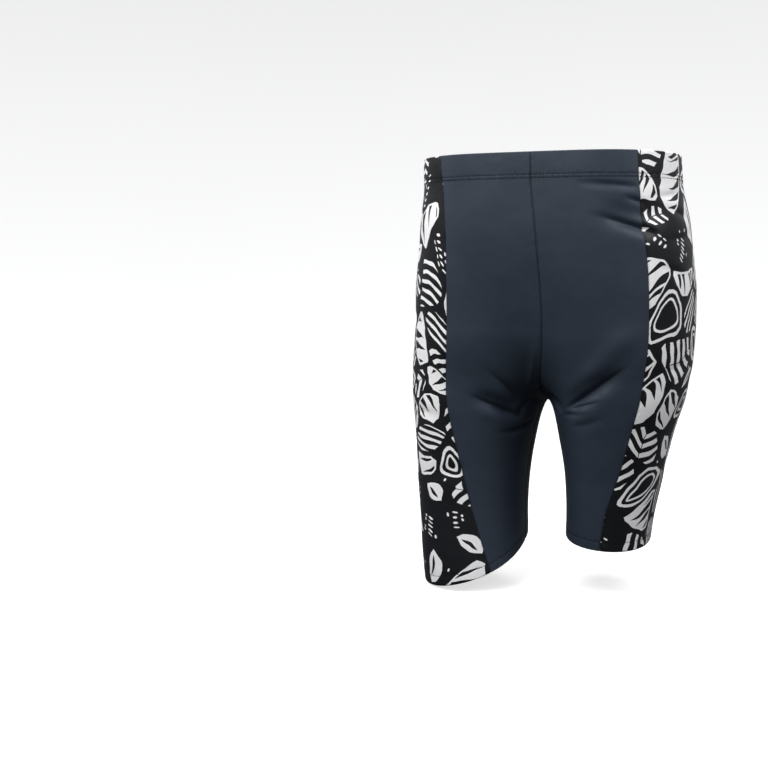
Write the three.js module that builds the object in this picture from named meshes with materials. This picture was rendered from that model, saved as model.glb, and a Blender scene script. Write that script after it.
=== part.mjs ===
// Padded cycling shorts in stretch cloth, filled out as when worn, with nobody in them.
// Millimetres; +Z is up, the front faces -Y and +X is the wearer's left.
// The origin is the middle of the waistband, where the shorts are held up.
import * as THREE from 'three';

// Driving sizes
const BAND_HEIGHT = 26;
const BAND_TOP = BAND_HEIGHT / 2;
const CLOTH = 1.2;             // one layer of cloth with its fold of seam behind it
const BAND_WALL = 2.6;         // two layers of cloth and the elastic between them
const BAND_ROUND = 0.9;        // rounding of the casing's two edges
const BAND_SWELL = 0.3;        // how far the elastic swells the casing
const HEM_WALL = 2.1;          // the hem turned in once
const HEM_DEPTH = 11;
const TURN = 1;                // height over which the wall thickens at the hem
const GAP = 0.3;               // between neighbouring pieces
const PAD_THICK = 8;
const PAD_EDGE = 1.6;
const PAD_SLOPE = 14;          // width of the bevel round the pad
const PAD_CLEAR = 1.4;         // between the pad and the panels, which bend sharply below it
const OVAL = 2.15;             // power of the ovals: 2 is an ellipse, more is squarer

// How finely the pieces are drawn
const ROWS_ABOVE = 19;         // rows from the waistband down to the fork
const ROWS_BELOW = 9;          // rows from the fork down to the turned hem
const ROW_CROWDING = 0.45;     // how much closer the rows lie towards the fork
const COLUMN_CROWDING = 0.4;   // how much closer a panel's columns lie towards the middle
const FRONT_COLUMNS = 13;
const SIDE_COLUMNS = 8;
const BACK_COLUMNS = 12;
const BAND_COLUMNS = 64;
const PAD_ROWS = 17;
const PAD_COLUMNS = 14;

// Sections of the body, one oval a leg: level, distance of the oval's axis from the middle, its outer and
// inner half-widths, how far back the axis lies, its front and back half-depths, and the ovals' blend
const BODY = {
  columns: ['level', 'axis', 'outer', 'inner', 'aft', 'front', 'back', 'blend'],
  rows: [
    [-450, 72, 47, 52, -26, 62, 60, 30],
    [-360, 72, 50, 52, -16, 68, 64, 30],
    [-310, 72, 56, 54, -8, 75, 70, 30],
    [-265, 72, 63, 60, -2, 83, 80, 34],
    [-234, 72, 70, 67, 2, 90, 90, 40],
    [-204, 69, 76, 85, 4, 94, 100, 48],
    [-160, 62, 82, 108, 4, 98, 108, 44],
    [-110, 54, 89, 120, 2, 98, 106, 34],
    [-60, 48, 90, 140, 0, 96, 96, 30],
    [-13, 46, 85, 150, 0, 92, 85, 30],
    [13, 46, 84, 150, 0, 90, 82, 30],
  ],
};

// How each leg stands: level, step outwards, step forwards, and growth of its width and its depth
const STANCE_COLUMNS = ['level', 'outwards', 'forwards', 'width', 'depth'];
const STANCE = {
  left: {
    columns: STANCE_COLUMNS,
    rows: [
      [-450, -8, -14, -0.18, 0.05],
      [-380, -6, -10, -0.18, 0.05],
      [-310, -4, -6, -0.13, 0.04],
      [-265, -4, -2, -0.08, 0.02],
      [-220, -3, 0, -0.04, 0],
      [-150, 0, 0, 0, 0],
      [-90, 0, 0, 0, 0],
      [13, -4, 0, 0, 0],
    ],
  },
  right: {
    columns: STANCE_COLUMNS,
    rows: [
      [-450, -8, 20, 0.06, -0.04],
      [-380, 0, 16, 0.08, -0.04],
      [-310, 4, 10, 0.05, -0.02],
      [-265, 4, 6, 0.02, -0.01],
      [-220, 2, 2, 0, 0],
      [-150, 0, 0, 0, 0],
      [-90, 0, 0, 0, 0],
      [13, 5, 0, 0, 0],
    ],
  },
};

// Each hem's plane: its level inside the leg, its drop to the outside, and from its middle to its front
const HEM = {
  left: { inside: -366, drop: 10, nod: 2 },
  right: { inside: -379, drop: 34, nod: 19 },
};

// Seams: the front and back side seams as angles round the leg (0 in front, 90 outside, 180 behind),
// and how far the centre front seam strays to the wearer's left
const SEAM_COLUMNS = ['level', 'front', 'back'];
const SEAMS = {
  left: {
    columns: SEAM_COLUMNS,
    rows: [
      [-420, 1, 150],
      [-345, 5, 146],
      [-285, 17, 143],
      [-235, 24, 147],
      [-165, 32, 148],
      [-90, 37, 151],
      [13, 38, 150],
    ],
  },
  right: {
    columns: SEAM_COLUMNS,
    rows: [
      [-420, -38, 124],
      [-345, -17, 130],
      [-285, -3, 134],
      [-235, 6, 139],
      [-165, 13, 140],
      [-90, 21, 139],
      [13, 31, 136],
    ],
  },
};
const CENTRE_FRONT = {
  columns: ['level', 'stray'],
  rows: [
    [-232, 0],
    [-205, 6],
    [-175, 11],
    [-145, 12],
    [-95, 9],
    [-55, 5],
    [-13, 0],
    [13, -1],
  ],
};

// The largest creases, each between two places on one leg, with its half-width and depth
const CREASE_COLUMNS = ['fromAngle', 'fromLevel', 'toAngle', 'toLevel', 'halfWidth', 'depth'];
const CREASES = {
  left: {
    columns: CREASE_COLUMNS,
    rows: [
      [10, -49, 62, -44, 15, 3.2],
      [18, -193, -26, -236, 11, 3.6],
    ],
  },
  right: {
    columns: CREASE_COLUMNS,
    rows: [
      [-6, -222, -50, -247, 10, 3.2],
    ],
  },
};
const CREASE_STEPS = 8;
const CREASE_FADE = 0.35;      // share of a crease's length over which each end dies away
const SHOULDER = 0.6;          // how strongly the cloth rises beside a crease
const SIDE_REACH = 60;         // angle at which a row has reached its level at the side

// The seat pad from its rounded back end to its front end: share of its length, half-width
const PAD = {
  columns: ['share', 'halfWidth'],
  rows: [
    [0, 22],
    [0.07, 42],
    [0.2, 60],
    [0.38, 67],
    [0.55, 62],
    [0.75, 42],
    [0.93, 30],
    [1, 20],
  ],
};
const PAD_TOP = -173;          // level of the pad's back end on the centre back
const PAD_FRONT = -214;        // level of the pad's front end on the centre front

// Search limits and steps
const FAR = 400;
const FORK_SEARCH = { from: -150, to: -320 };
const HALVINGS = 34;
const PROBE = 0.4;
const PAST_MIDDLE = 1;
const PROFILE_STEPS = 300;
const WALK_STEPS = 5;
const SEAM_TRIES = 12;
const SETTLE_STEPS = 3;

const CLOTHS = {
  navy: { color: 0x2b303a, roughness: 0.55 },
  print: { color: 0x9a9ba0, roughness: 0.55 },
  band: { color: 0x353c48, roughness: 0.6 },
  pad: { color: 0x1b1c20, roughness: 0.9 },
};

const SIDE_SIGN = { left: 1, right: -1 };

function clamp(value, low, high) {
  return Math.min(Math.max(value, low), high);
}

function mix(a, b, t) {
  return a + (b - a) * t;
}

function ease(t) {
  const s = clamp(t, 0, 1);
  return s * s * (3 - 2 * s);
}

function radians(angle) {
  return (angle * Math.PI) / 180;
}

function degrees(angle) {
  return (angle * 180) / Math.PI;
}

// A smooth curve through the points that never overshoots between two of them
function smoothCurve(xs, ys) {
  const last = xs.length - 1;
  const steps = xs.slice(1).map((x, i) => x - xs[i]);
  const slopes = steps.map((step, i) => (ys[i + 1] - ys[i]) / step);
  const tangents = [slopes[0]];
  for (let i = 1; i < last; i += 1) {
    const before = slopes[i - 1];
    const after = slopes[i];
    const weightBefore = 2 * steps[i] + steps[i - 1];
    const weightAfter = steps[i] + 2 * steps[i - 1];
    const turns = before * after <= 0;
    const blended = (weightBefore + weightAfter) / (weightBefore / before + weightAfter / after);
    tangents.push(turns ? 0 : blended);
  }
  tangents.push(slopes[last - 1]);
  return (x) => {
    const at = clamp(x, xs[0], xs[last]);
    let i = 0;
    while (i < last - 1 && at > xs[i + 1]) i += 1;
    const t = (at - xs[i]) / steps[i];
    const bend = t * t * (3 - 2 * t);
    const leave = t * (1 - t) * (1 - t) * tangents[i];
    const arrive = t * t * (t - 1) * tangents[i + 1];
    return mix(ys[i], ys[i + 1], bend) + (leave + arrive) * steps[i];
  };
}

// One smooth curve for each named column of a table, over its first column
function curves(table) {
  const xs = table.rows.map((row) => row[0]);
  const found = {};
  table.columns.slice(1).forEach((name, i) => {
    found[name] = smoothCurve(xs, table.rows.map((row) => row[i + 1]));
  });
  return found;
}

const body = curves(BODY);
const stance = { left: curves(STANCE.left), right: curves(STANCE.right) };
const seams = { left: curves(SEAMS.left), right: curves(SEAMS.right) };
const centreFront = curves(CENTRE_FRONT).stray;
const padHalfWidth = curves(PAD).halfWidth;

function axisOf(side, level) {
  const stand = stance[side];
  return {
    out: body.axis(level) + stand.outwards(level),
    y: body.aft(level) - stand.forwards(level),
  };
}

// Signed distance to one leg's oval along the level ray from its axis
function ovalDistance(side, x, y, level) {
  const axis = axisOf(side, level);
  const out = SIDE_SIGN[side] * x - axis.out;
  const back = y - axis.y;
  const wide = 1 + stance[side].width(level);
  const deep = 1 + stance[side].depth(level);
  const across = (out > 0 ? body.outer(level) : body.inner(level)) * wide;
  const along = (back < 0 ? body.front(level) : body.back(level)) * deep;
  const share = (Math.abs(out / across) ** OVAL + Math.abs(back / along) ** OVAL) ** (1 / OVAL);
  return Math.hypot(out, back) * (1 - 1 / Math.max(share, 1e-6));
}

// Signed distance to the whole outer surface: both ovals with a soft blend between them
function distance(x, y, level) {
  const a = ovalDistance('left', x, y, level);
  const b = ovalDistance('right', x, y, level);
  const blend = body.blend(level);
  const near = Math.max(blend - Math.abs(a - b), 0) / blend;
  return Math.min(a, b) - (near ** 3 * blend) / 6;
}

// How fast the distance grows along each axis
function slopeAt({ x, y, z }) {
  return new THREE.Vector3(
    distance(x + PROBE, y, z) - distance(x - PROBE, y, z),
    distance(x, y + PROBE, z) - distance(x, y - PROBE, z),
    distance(x, y, z + PROBE) - distance(x, y, z - PROBE),
  ).divideScalar(2 * PROBE);
}

function outwards(point) {
  return slopeAt(point).normalize();
}

// The share of a way at which the test turns from true to false
function halve(test) {
  let low = 0;
  let high = 1;
  for (let i = 0; i < HALVINGS; i += 1) {
    const middle = (low + high) / 2;
    if (test(middle)) low = middle;
    else high = middle;
  }
  return (low + high) / 2;
}

// How far a level ray from a leg's axis may run: inwards it stops just past the centre seam
function rayLength(side, angle, level, axis) {
  const inwards = -Math.sin(radians(angle));
  if (inwards <= 0) return FAR;
  const past = level > fork.z ? Math.abs(centreFront(level)) + PAST_MIDDLE : 0;
  return Math.min(FAR, (axis.out + past) / inwards);
}

// The surface at an angle round a leg's axis, on one level
function legPoint(side, angle, level) {
  const axis = axisOf(side, level);
  const sign = SIDE_SIGN[side];
  const length = rayLength(side, angle, level, axis);
  const dx = sign * Math.sin(radians(angle)) * length;
  const dy = -Math.cos(radians(angle)) * length;
  const x0 = sign * axis.out;
  const share = halve((t) => distance(x0 + dx * t, axis.y + dy * t, level) < 0);
  return new THREE.Vector3(x0 + dx * share, axis.y + dy * share, level);
}

// The surface in front of (or behind) a place near the middle, on one level
function middlePoint(x, level, sign) {
  const y0 = (axisOf('left', level).y + axisOf('right', level).y) / 2;
  const share = halve((t) => distance(x, y0 + sign * FAR * t, level) < 0);
  return new THREE.Vector3(x, y0 + sign * FAR * share, level);
}

// The fork: the lowest point of the surface on the middle plane
function findFork() {
  const { from, to } = FORK_SEARCH;
  const axisY = (level) => (axisOf('left', level).y + axisOf('right', level).y) / 2;
  const share = halve((t) => distance(0, axisY(mix(from, to, t)), mix(from, to, t)) < 0);
  const level = mix(from, to, share);
  return new THREE.Vector3(0, axisY(level), level);
}

const fork = findFork();

function angleOf(side, point) {
  const axis = axisOf(side, point.z);
  const out = SIDE_SIGN[side] * point.x - axis.out;
  return degrees(Math.atan2(out, axis.y - point.y));
}

// Points at given shares of a line's length
function atShares(line, shares) {
  const lengths = [0];
  for (let i = 1; i < line.length; i += 1) {
    lengths.push(lengths[i - 1] + line[i].distanceTo(line[i - 1]));
  }
  const whole = lengths[lengths.length - 1];
  return shares.map((share) => {
    const want = whole * share;
    let i = 1;
    while (i < lengths.length - 1 && lengths[i] < want) i += 1;
    const t = clamp((want - lengths[i - 1]) / (lengths[i] - lengths[i - 1]), 0, 1);
    return line[i - 1].clone().lerp(line[i], t);
  });
}

function evenShares(count) {
  return Array.from({ length: count + 1 }, (unused, k) => k / count);
}

// The middle of the surface in front (sign -1) or behind (sign 1), from a top level down to the fork
function middleLine(sign, top, stray) {
  const line = evenShares(PROFILE_STEPS).map((share) => {
    const level = mix(fork.z, top, (1 - share) ** 2);
    return middlePoint(stray(level), level, sign);
  });
  line[line.length - 1] = fork.clone();
  return line;
}

// A centre seam's points, one for each row of cloth, closer together towards the fork
function centreSeam(sign, top, count) {
  const line = middleLine(sign, top, sign < 0 ? centreFront : () => 0);
  const crowd = (share) => mix(share, 1 - (1 - share) ** 2, ROW_CROWDING);
  return atShares(line, evenShares(count).map(crowd));
}

// The level of a hem's edge at an angle round the leg
function hemLevel(side, angle) {
  const { inside, drop, nod } = HEM[side];
  const outside = (1 + Math.sin(radians(angle))) / 2;
  return inside - drop * outside - nod * Math.cos(radians(angle));
}

const PANEL_TOP = -BAND_TOP - GAP;
const FRONT_SEAM = centreSeam(-1, PANEL_TOP, ROWS_ABOVE);
const BACK_SEAM = centreSeam(1, PANEL_TOP, ROWS_ABOVE);

// One row of the cloth round a leg. Above the fork it runs from seam to seam, from its level at the middle
// to its level at the side; below the fork it goes all the way round and tilts more and more with the hem
function rowAbove(side, index) {
  const front = FRONT_SEAM[index];
  const back = BACK_SEAM[index];
  return {
    frontLevel: front.z,
    backLevel: back.z,
    sideLevel: mix(PANEL_TOP, fork.z, index / ROWS_ABOVE),
    start: angleOf(side, front),
    end: angleOf(side, back) + 360,
    wall: CLOTH,
    ends: [front, back],
  };
}

function rowBelow(share, lift, wall) {
  return { share, lift, start: -90, end: 270, wall, ends: null };
}

function rowsOf(side) {
  const rows = [];
  for (let i = 0; i <= ROWS_ABOVE; i += 1) rows.push(rowAbove(side, i));
  for (let i = 1; i <= ROWS_BELOW; i += 1) rows.push(rowBelow(i / ROWS_BELOW, 0, CLOTH));
  rows.push(rowBelow(1, -TURN, HEM_WALL));
  rows.push(rowBelow(1, -HEM_DEPTH, HEM_WALL));
  return rows;
}

function levelOn(side, row, angle) {
  if (!row.ends) return mix(fork.z, hemLevel(side, angle) + HEM_DEPTH, row.share) + row.lift;
  const rise = (angle - row.start) / (SIDE_REACH - row.start);
  const fall = (row.end - angle) / (row.end - (180 - SIDE_REACH));
  if (rise < 1) return mix(row.frontLevel, row.sideLevel, ease(rise));
  if (fall < 1) return mix(row.backLevel, row.sideLevel, ease(fall));
  return row.sideLevel;
}

// Where a side seam crosses a row
function seamAngle(side, row, seam) {
  let angle = 90;
  for (let i = 0; i < SEAM_TRIES; i += 1) angle = seam(levelOn(side, row, angle));
  return angle;
}

// Creases as lines of points on the surface
function creaseLines() {
  const lines = [];
  for (const side of ['left', 'right']) {
    for (const row of CREASES[side].rows) {
      const [fromAngle, fromLevel, toAngle, toLevel, halfWidth, depth] = row;
      const points = [];
      for (let i = 0; i <= CREASE_STEPS; i += 1) {
        const t = i / CREASE_STEPS;
        points.push(legPoint(side, mix(fromAngle, toAngle, t), mix(fromLevel, toLevel, t)));
      }
      lines.push({ points, halfWidth, depth });
    }
  }
  return lines;
}

const creases = creaseLines();

// The nearest place on a line of points: how far off it is, and its share of the line
function nearestOn(points, place) {
  const segment = new THREE.Line3();
  const foot = new THREE.Vector3();
  let best = { away: Infinity, share: 0 };
  for (let i = 0; i < points.length - 1; i += 1) {
    segment.set(points[i], points[i + 1]);
    const t = segment.closestPointToPointParameter(place, true);
    segment.at(t, foot);
    const away = foot.distanceTo(place);
    if (away < best.away) best = { away, share: (i + t) / (points.length - 1) };
  }
  return best;
}

function relief(place) {
  let height = 0;
  for (const crease of creases) {
    const { away, share } = nearestOn(crease.points, place);
    const q = (away / crease.halfWidth) ** 2;
    const fade = ease(Math.min(share, 1 - share) / CREASE_FADE);
    height -= crease.depth * fade * (1 - SHOULDER * q) * Math.exp(-q);
  }
  return height;
}

// A place on the cloth: its outer point, and the inner point one wall further in
function wallAt(place, wall) {
  const normal = outwards(place);
  const outer = place.clone().addScaledVector(normal, relief(place));
  return { outer, inner: outer.clone().addScaledVector(normal, -wall) };
}

function closedMesh(name, positions, faces, cloth) {
  const geometry = new THREE.BufferGeometry();
  geometry.setAttribute('position', new THREE.Float32BufferAttribute(positions, 3));
  geometry.setIndex(faces);
  geometry.computeVertexNormals();
  const material = new THREE.MeshStandardMaterial({ ...cloth, metalness: 0 });
  const mesh = new THREE.Mesh(geometry, material);
  mesh.name = name;
  return mesh;
}

// A sheet with a wall: rows of outer and inner points joined into one closed body
function sheet(name, cells, turned, cloth) {
  const height = cells.length;
  const width = cells[0].length;
  const positions = [];
  for (const layer of ['outer', 'inner']) {
    for (const row of cells) {
      for (const cell of row) positions.push(cell[layer].x, cell[layer].y, cell[layer].z);
    }
  }
  const faces = [];
  const place = (k) => new THREE.Vector3().fromArray(positions, 3 * k);
  const quad = (a, b, c, d) => {
    const alongAC = place(a).distanceTo(place(c)) <= place(b).distanceTo(place(d));
    const corners = alongAC ? [a, b, c, a, c, d] : [a, b, d, b, c, d];
    if (turned) corners.reverse();
    faces.push(...corners);
  };
  const outer = (j, i) => j * width + i;
  const inner = (j, i) => (height + j) * width + i;
  for (let j = 0; j < height - 1; j += 1) {
    for (let i = 0; i < width - 1; i += 1) {
      quad(outer(j, i), outer(j + 1, i), outer(j + 1, i + 1), outer(j, i + 1));
      quad(inner(j, i), inner(j, i + 1), inner(j + 1, i + 1), inner(j + 1, i));
    }
  }
  for (let j = 0; j < height - 1; j += 1) {
    quad(outer(j, 0), inner(j, 0), inner(j + 1, 0), outer(j + 1, 0));
    quad(outer(j, width - 1), outer(j + 1, width - 1), inner(j + 1, width - 1), inner(j, width - 1));
  }
  for (let i = 0; i < width - 1; i += 1) {
    quad(outer(0, i), outer(0, i + 1), inner(0, i + 1), inner(0, i));
    quad(outer(height - 1, i), inner(height - 1, i), inner(height - 1, i + 1), outer(height - 1, i + 1));
  }
  return closedMesh(name, positions, faces, cloth);
}

// Both ends of a row step back from the seam by half the gap
function setBack(row) {
  const last = row.length - 1;
  for (const [end, next] of [[0, 1], [last, last - 1]]) {
    const step = row[next].clone().sub(row[end]).setLength(GAP / 2);
    row[end].add(step);
  }
}

function panel(name, side, fromOf, toOf, columns, crowding, cloth) {
  const cells = rowsOf(side).map((row) => {
    const from = fromOf(row);
    const to = toOf(row);
    const places = [];
    for (let i = 0; i <= columns; i += 1) {
      const even = i / columns;
      const crowded = crowding < 0 ? 1 - (1 - even) ** 2 : even * even;
      const share = mix(even, crowded, Math.abs(crowding));
      const angle = mix(from, to, share);
      places.push(legPoint(side, angle, levelOn(side, row, angle)));
    }
    if (row.ends && from === row.start) places[0] = row.ends[0].clone();
    if (row.ends && to === row.end) places[columns] = row.ends[1].clone();
    setBack(places);
    return places.map((place) => wallAt(place, row.wall));
  });
  return sheet(name, cells, side === 'right', cloth);
}

function panelsOf(side) {
  const frontSeam = (row) => seamAngle(side, row, seams[side].front);
  const backSeam = (row) => seamAngle(side, row, seams[side].back);
  const start = (row) => row.start;
  const end = (row) => row.end;
  return [
    panel(`front_${side}`, side, start, frontSeam, FRONT_COLUMNS, COLUMN_CROWDING, CLOTHS.navy),
    panel(`side_${side}`, side, frontSeam, backSeam, SIDE_COLUMNS, 0, CLOTHS.print),
    panel(`back_${side}`, side, backSeam, end, BACK_COLUMNS, -COLUMN_CROWDING, CLOTHS.navy),
  ];
}

// The waistband's section, going round it: height above its middle, and how far out from the cloth's face
function bandSection() {
  const top = BAND_TOP;
  const round = BAND_ROUND;
  const swell = BAND_SWELL;
  return [
    [top, -round],
    [top - round, 0],
    [top / 3, swell],
    [-top / 3, swell],
    [round - top, 0],
    [-top, -round],
    [-top, round - BAND_WALL],
    [round - top, -BAND_WALL],
    [top - round, -BAND_WALL],
    [top, round - BAND_WALL],
  ];
}

function waistband() {
  const section = bandSection();
  const positions = [];
  for (let i = 0; i < BAND_COLUMNS; i += 1) {
    const turn = (2 * Math.PI * i) / BAND_COLUMNS;
    const ray = new THREE.Vector3(Math.sin(turn), -Math.cos(turn), 0).multiplyScalar(FAR);
    for (const [height, out] of section) {
      const share = halve((t) => distance(ray.x * t, ray.y * t, height) < 0);
      const place = ray.clone().multiplyScalar(share).setZ(height);
      place.addScaledVector(outwards(place).setZ(0).normalize(), out);
      positions.push(place.x, place.y, place.z);
    }
  }
  const count = section.length;
  const faces = [];
  for (let i = 0; i < BAND_COLUMNS; i += 1) {
    const next = (i + 1) % BAND_COLUMNS;
    for (let k = 0; k < count; k += 1) {
      const after = (k + 1) % count;
      const a = i * count + k;
      const b = i * count + after;
      const c = next * count + after;
      const d = next * count + k;
      faces.push(a, b, c, a, c, d);
    }
  }
  return closedMesh('waistband', positions, faces, CLOTHS.band);
}

// Newton steps back on to the surface
function settle(place) {
  const on = place.clone();
  for (let i = 0; i < SETTLE_STEPS; i += 1) {
    const slope = slopeAt(on);
    on.addScaledVector(slope, -distance(on.x, on.y, on.z) / slope.lengthSq());
  }
  return on;
}

// A straight walk over the surface, level at first, to either side of the middle
function walk(start, sign, length) {
  const at = start.clone();
  const heading = new THREE.Vector3(sign, 0, 0);
  const step = length / WALK_STEPS;
  const line = [at.clone()];
  for (let i = 0; i < WALK_STEPS; i += 1) {
    const normal = outwards(at);
    heading.addScaledVector(normal, -heading.dot(normal)).normalize();
    const next = settle(at.clone().addScaledVector(heading, step));
    heading.copy(next).sub(at).normalize();
    at.copy(next);
    line.push(at.clone());
  }
  return line;
}

function alongLine(line, share) {
  const at = share * (line.length - 1);
  const i = Math.min(Math.floor(at), line.length - 2);
  return line[i].clone().lerp(line[i + 1], at - i);
}

// The pad's middle line: down the centre back, through the fork and a little way up the front
function padSpine() {
  const straight = () => 0;
  const back = middleLine(1, PAD_TOP, straight);
  const front = middleLine(-1, PAD_FRONT, straight).reverse();
  return [...back, ...front.slice(1)];
}

function seatPad() {
  const spine = padSpine();
  const whole = spine.slice(1).reduce((sum, place, i) => sum + place.distanceTo(spine[i]), 0);
  const shares = evenShares(PAD_ROWS);
  const cells = atShares(spine, shares).map((middle, k) => {
    const share = shares[k];
    const halfWidth = padHalfWidth(share);
    const toLeft = walk(middle, 1, halfWidth);
    const toRight = walk(middle, -1, halfWidth);
    return evenShares(PAD_COLUMNS).map((column) => {
      const across = 2 * column - 1;
      const place = settle(alongLine(across < 0 ? toRight : toLeft, Math.abs(across)));
      const edge = Math.min((1 - Math.abs(across)) * halfWidth, Math.min(share, 1 - share) * whole);
      const thick = mix(PAD_EDGE, PAD_THICK, ease(edge / PAD_SLOPE));
      const normal = outwards(place);
      const face = place.clone().addScaledVector(normal, relief(place) - CLOTH - PAD_CLEAR);
      return { outer: face, inner: face.clone().addScaledVector(normal, -thick) };
    });
  });
  return sheet('seat_pad', cells, true, CLOTHS.pad);
}

const shorts = new THREE.Group();
shorts.add(waistband());
shorts.add(...panelsOf('left'));
shorts.add(...panelsOf('right'));
shorts.add(seatPad());

export default shorts;
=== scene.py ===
# Padded cycling shorts in stretch cloth, filled out as when worn, with nobody in them.
# The tables and the surface functions are in millimetres, and every mesh is in metres.
# +Z is up, the front faces -Y and +X is the wearer's left. The origin is the middle of the waistband.

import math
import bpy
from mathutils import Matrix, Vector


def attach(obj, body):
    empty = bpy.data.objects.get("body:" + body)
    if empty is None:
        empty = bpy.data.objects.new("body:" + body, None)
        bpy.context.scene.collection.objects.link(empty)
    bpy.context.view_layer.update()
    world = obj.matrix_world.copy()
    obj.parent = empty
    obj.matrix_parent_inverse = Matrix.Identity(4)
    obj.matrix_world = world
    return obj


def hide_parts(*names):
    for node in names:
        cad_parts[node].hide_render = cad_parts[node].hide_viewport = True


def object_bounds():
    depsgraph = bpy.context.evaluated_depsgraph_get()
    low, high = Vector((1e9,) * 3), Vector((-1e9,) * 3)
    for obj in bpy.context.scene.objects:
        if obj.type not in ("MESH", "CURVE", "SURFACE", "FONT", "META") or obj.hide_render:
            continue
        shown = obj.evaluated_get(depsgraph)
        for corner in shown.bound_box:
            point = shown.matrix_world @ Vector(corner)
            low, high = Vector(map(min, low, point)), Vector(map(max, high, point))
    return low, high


bl_info = {
    "name": "Padded cycling shorts",
    "version": (1, 0, 0),
    "blender": (4, 5, 0),
    "location": "3D View > Sidebar > Shorts",
    "description": "Makes the panels, waistband, stitching and seat pad of a pair of cycling shorts",
    "category": "Add Mesh",
}

import bpy
import numpy as np
from mathutils import Euler, Vector
from mathutils.geometry import delaunay_2d_cdt

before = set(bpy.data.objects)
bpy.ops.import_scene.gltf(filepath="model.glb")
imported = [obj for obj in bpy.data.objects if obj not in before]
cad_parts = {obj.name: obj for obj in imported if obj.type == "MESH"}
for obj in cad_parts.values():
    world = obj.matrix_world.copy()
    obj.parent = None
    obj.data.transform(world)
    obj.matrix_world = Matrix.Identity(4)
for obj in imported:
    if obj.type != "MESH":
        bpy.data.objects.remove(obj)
CAD_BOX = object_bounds()

MM = 0.001
SIDES = ("left", "right")
SIGN = {"left": 1.0, "right": -1.0}

# Driving sizes, as in the solids
BAND_HEIGHT = 26.0
BAND_TOP = BAND_HEIGHT / 2
BAND_WALL = 2.6
BAND_SWELL = 0.3
HEM_DEPTH = 11.0
GAP = 0.3
OVAL = 2.15
PANEL_TOP = -BAND_TOP - GAP
PAD_THICK = 8.0
PAD_EDGE = 1.6
PAD_SLOPE = 14.0
PAD_CLEAR = 1.4
PAD_CLOTH = 1.2
PAD_TOP = -173.0
PAD_FRONT = -214.0

# Sections of the body, one oval a leg: level, distance of the oval's axis from the middle, its outer and
# inner half-widths, how far back the axis lies, its front and back half-depths, and the ovals' blend
BODY_COLUMNS = ("axis", "outer", "inner", "aft", "front", "back", "blend")
BODY = (
    (-450, 72, 47, 52, -26, 62, 60, 30),
    (-360, 72, 50, 52, -16, 68, 64, 30),
    (-310, 72, 56, 54, -8, 75, 70, 30),
    (-265, 72, 63, 60, -2, 83, 80, 34),
    (-234, 72, 70, 67, 2, 90, 90, 40),
    (-204, 69, 76, 85, 4, 94, 100, 48),
    (-160, 62, 82, 108, 4, 98, 108, 44),
    (-110, 54, 89, 120, 2, 98, 106, 34),
    (-60, 48, 90, 140, 0, 96, 96, 30),
    (-13, 46, 85, 150, 0, 92, 85, 30),
    (13, 46, 84, 150, 0, 90, 82, 30),
)

# How each leg stands: level, step outwards, step forwards, and growth of its width and its depth
STANCE_COLUMNS = ("outwards", "forwards", "width", "depth")
STANCE = {
    "left": (
        (-450, -8, -14, -0.18, 0.05),
        (-380, -6, -10, -0.18, 0.05),
        (-310, -4, -6, -0.13, 0.04),
        (-265, -4, -2, -0.08, 0.02),
        (-220, -3, 0, -0.04, 0),
        (-150, 0, 0, 0, 0),
        (-90, 0, 0, 0, 0),
        (13, -4, 0, 0, 0),
    ),
    "right": (
        (-450, -8, 20, 0.06, -0.04),
        (-380, 0, 16, 0.08, -0.04),
        (-310, 4, 10, 0.05, -0.02),
        (-265, 4, 6, 0.02, -0.01),
        (-220, 2, 2, 0, 0),
        (-150, 0, 0, 0, 0),
        (-90, 0, 0, 0, 0),
        (13, 5, 0, 0, 0),
    ),
}

# Each hem's plane: its level inside the leg, its drop to the outside, and from its middle to its front
HEM = {"left": (-366, 10, 2), "right": (-379, 34, 19)}

# Seams: the front and back side seams as angles round the leg (0 in front, 90 outside, 180 behind),
# and how far the centre front seam strays to the wearer's left
SEAM_COLUMNS = ("front", "back")
SEAMS = {
    "left": (
        (-420, 1, 150),
        (-345, 5, 146),
        (-285, 17, 143),
        (-235, 24, 147),
        (-165, 32, 148),
        (-90, 37, 151),
        (13, 38, 150),
    ),
    "right": (
        (-420, -38, 124),
        (-345, -17, 130),
        (-285, -3, 134),
        (-235, 6, 139),
        (-165, 13, 140),
        (-90, 21, 139),
        (13, 31, 136),
    ),
}
CENTRE_FRONT = (
    (-232, 0),
    (-205, 6),
    (-175, 11),
    (-145, 12),
    (-95, 9),
    (-55, 5),
    (-13, 0),
    (13, -1),
)

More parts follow.
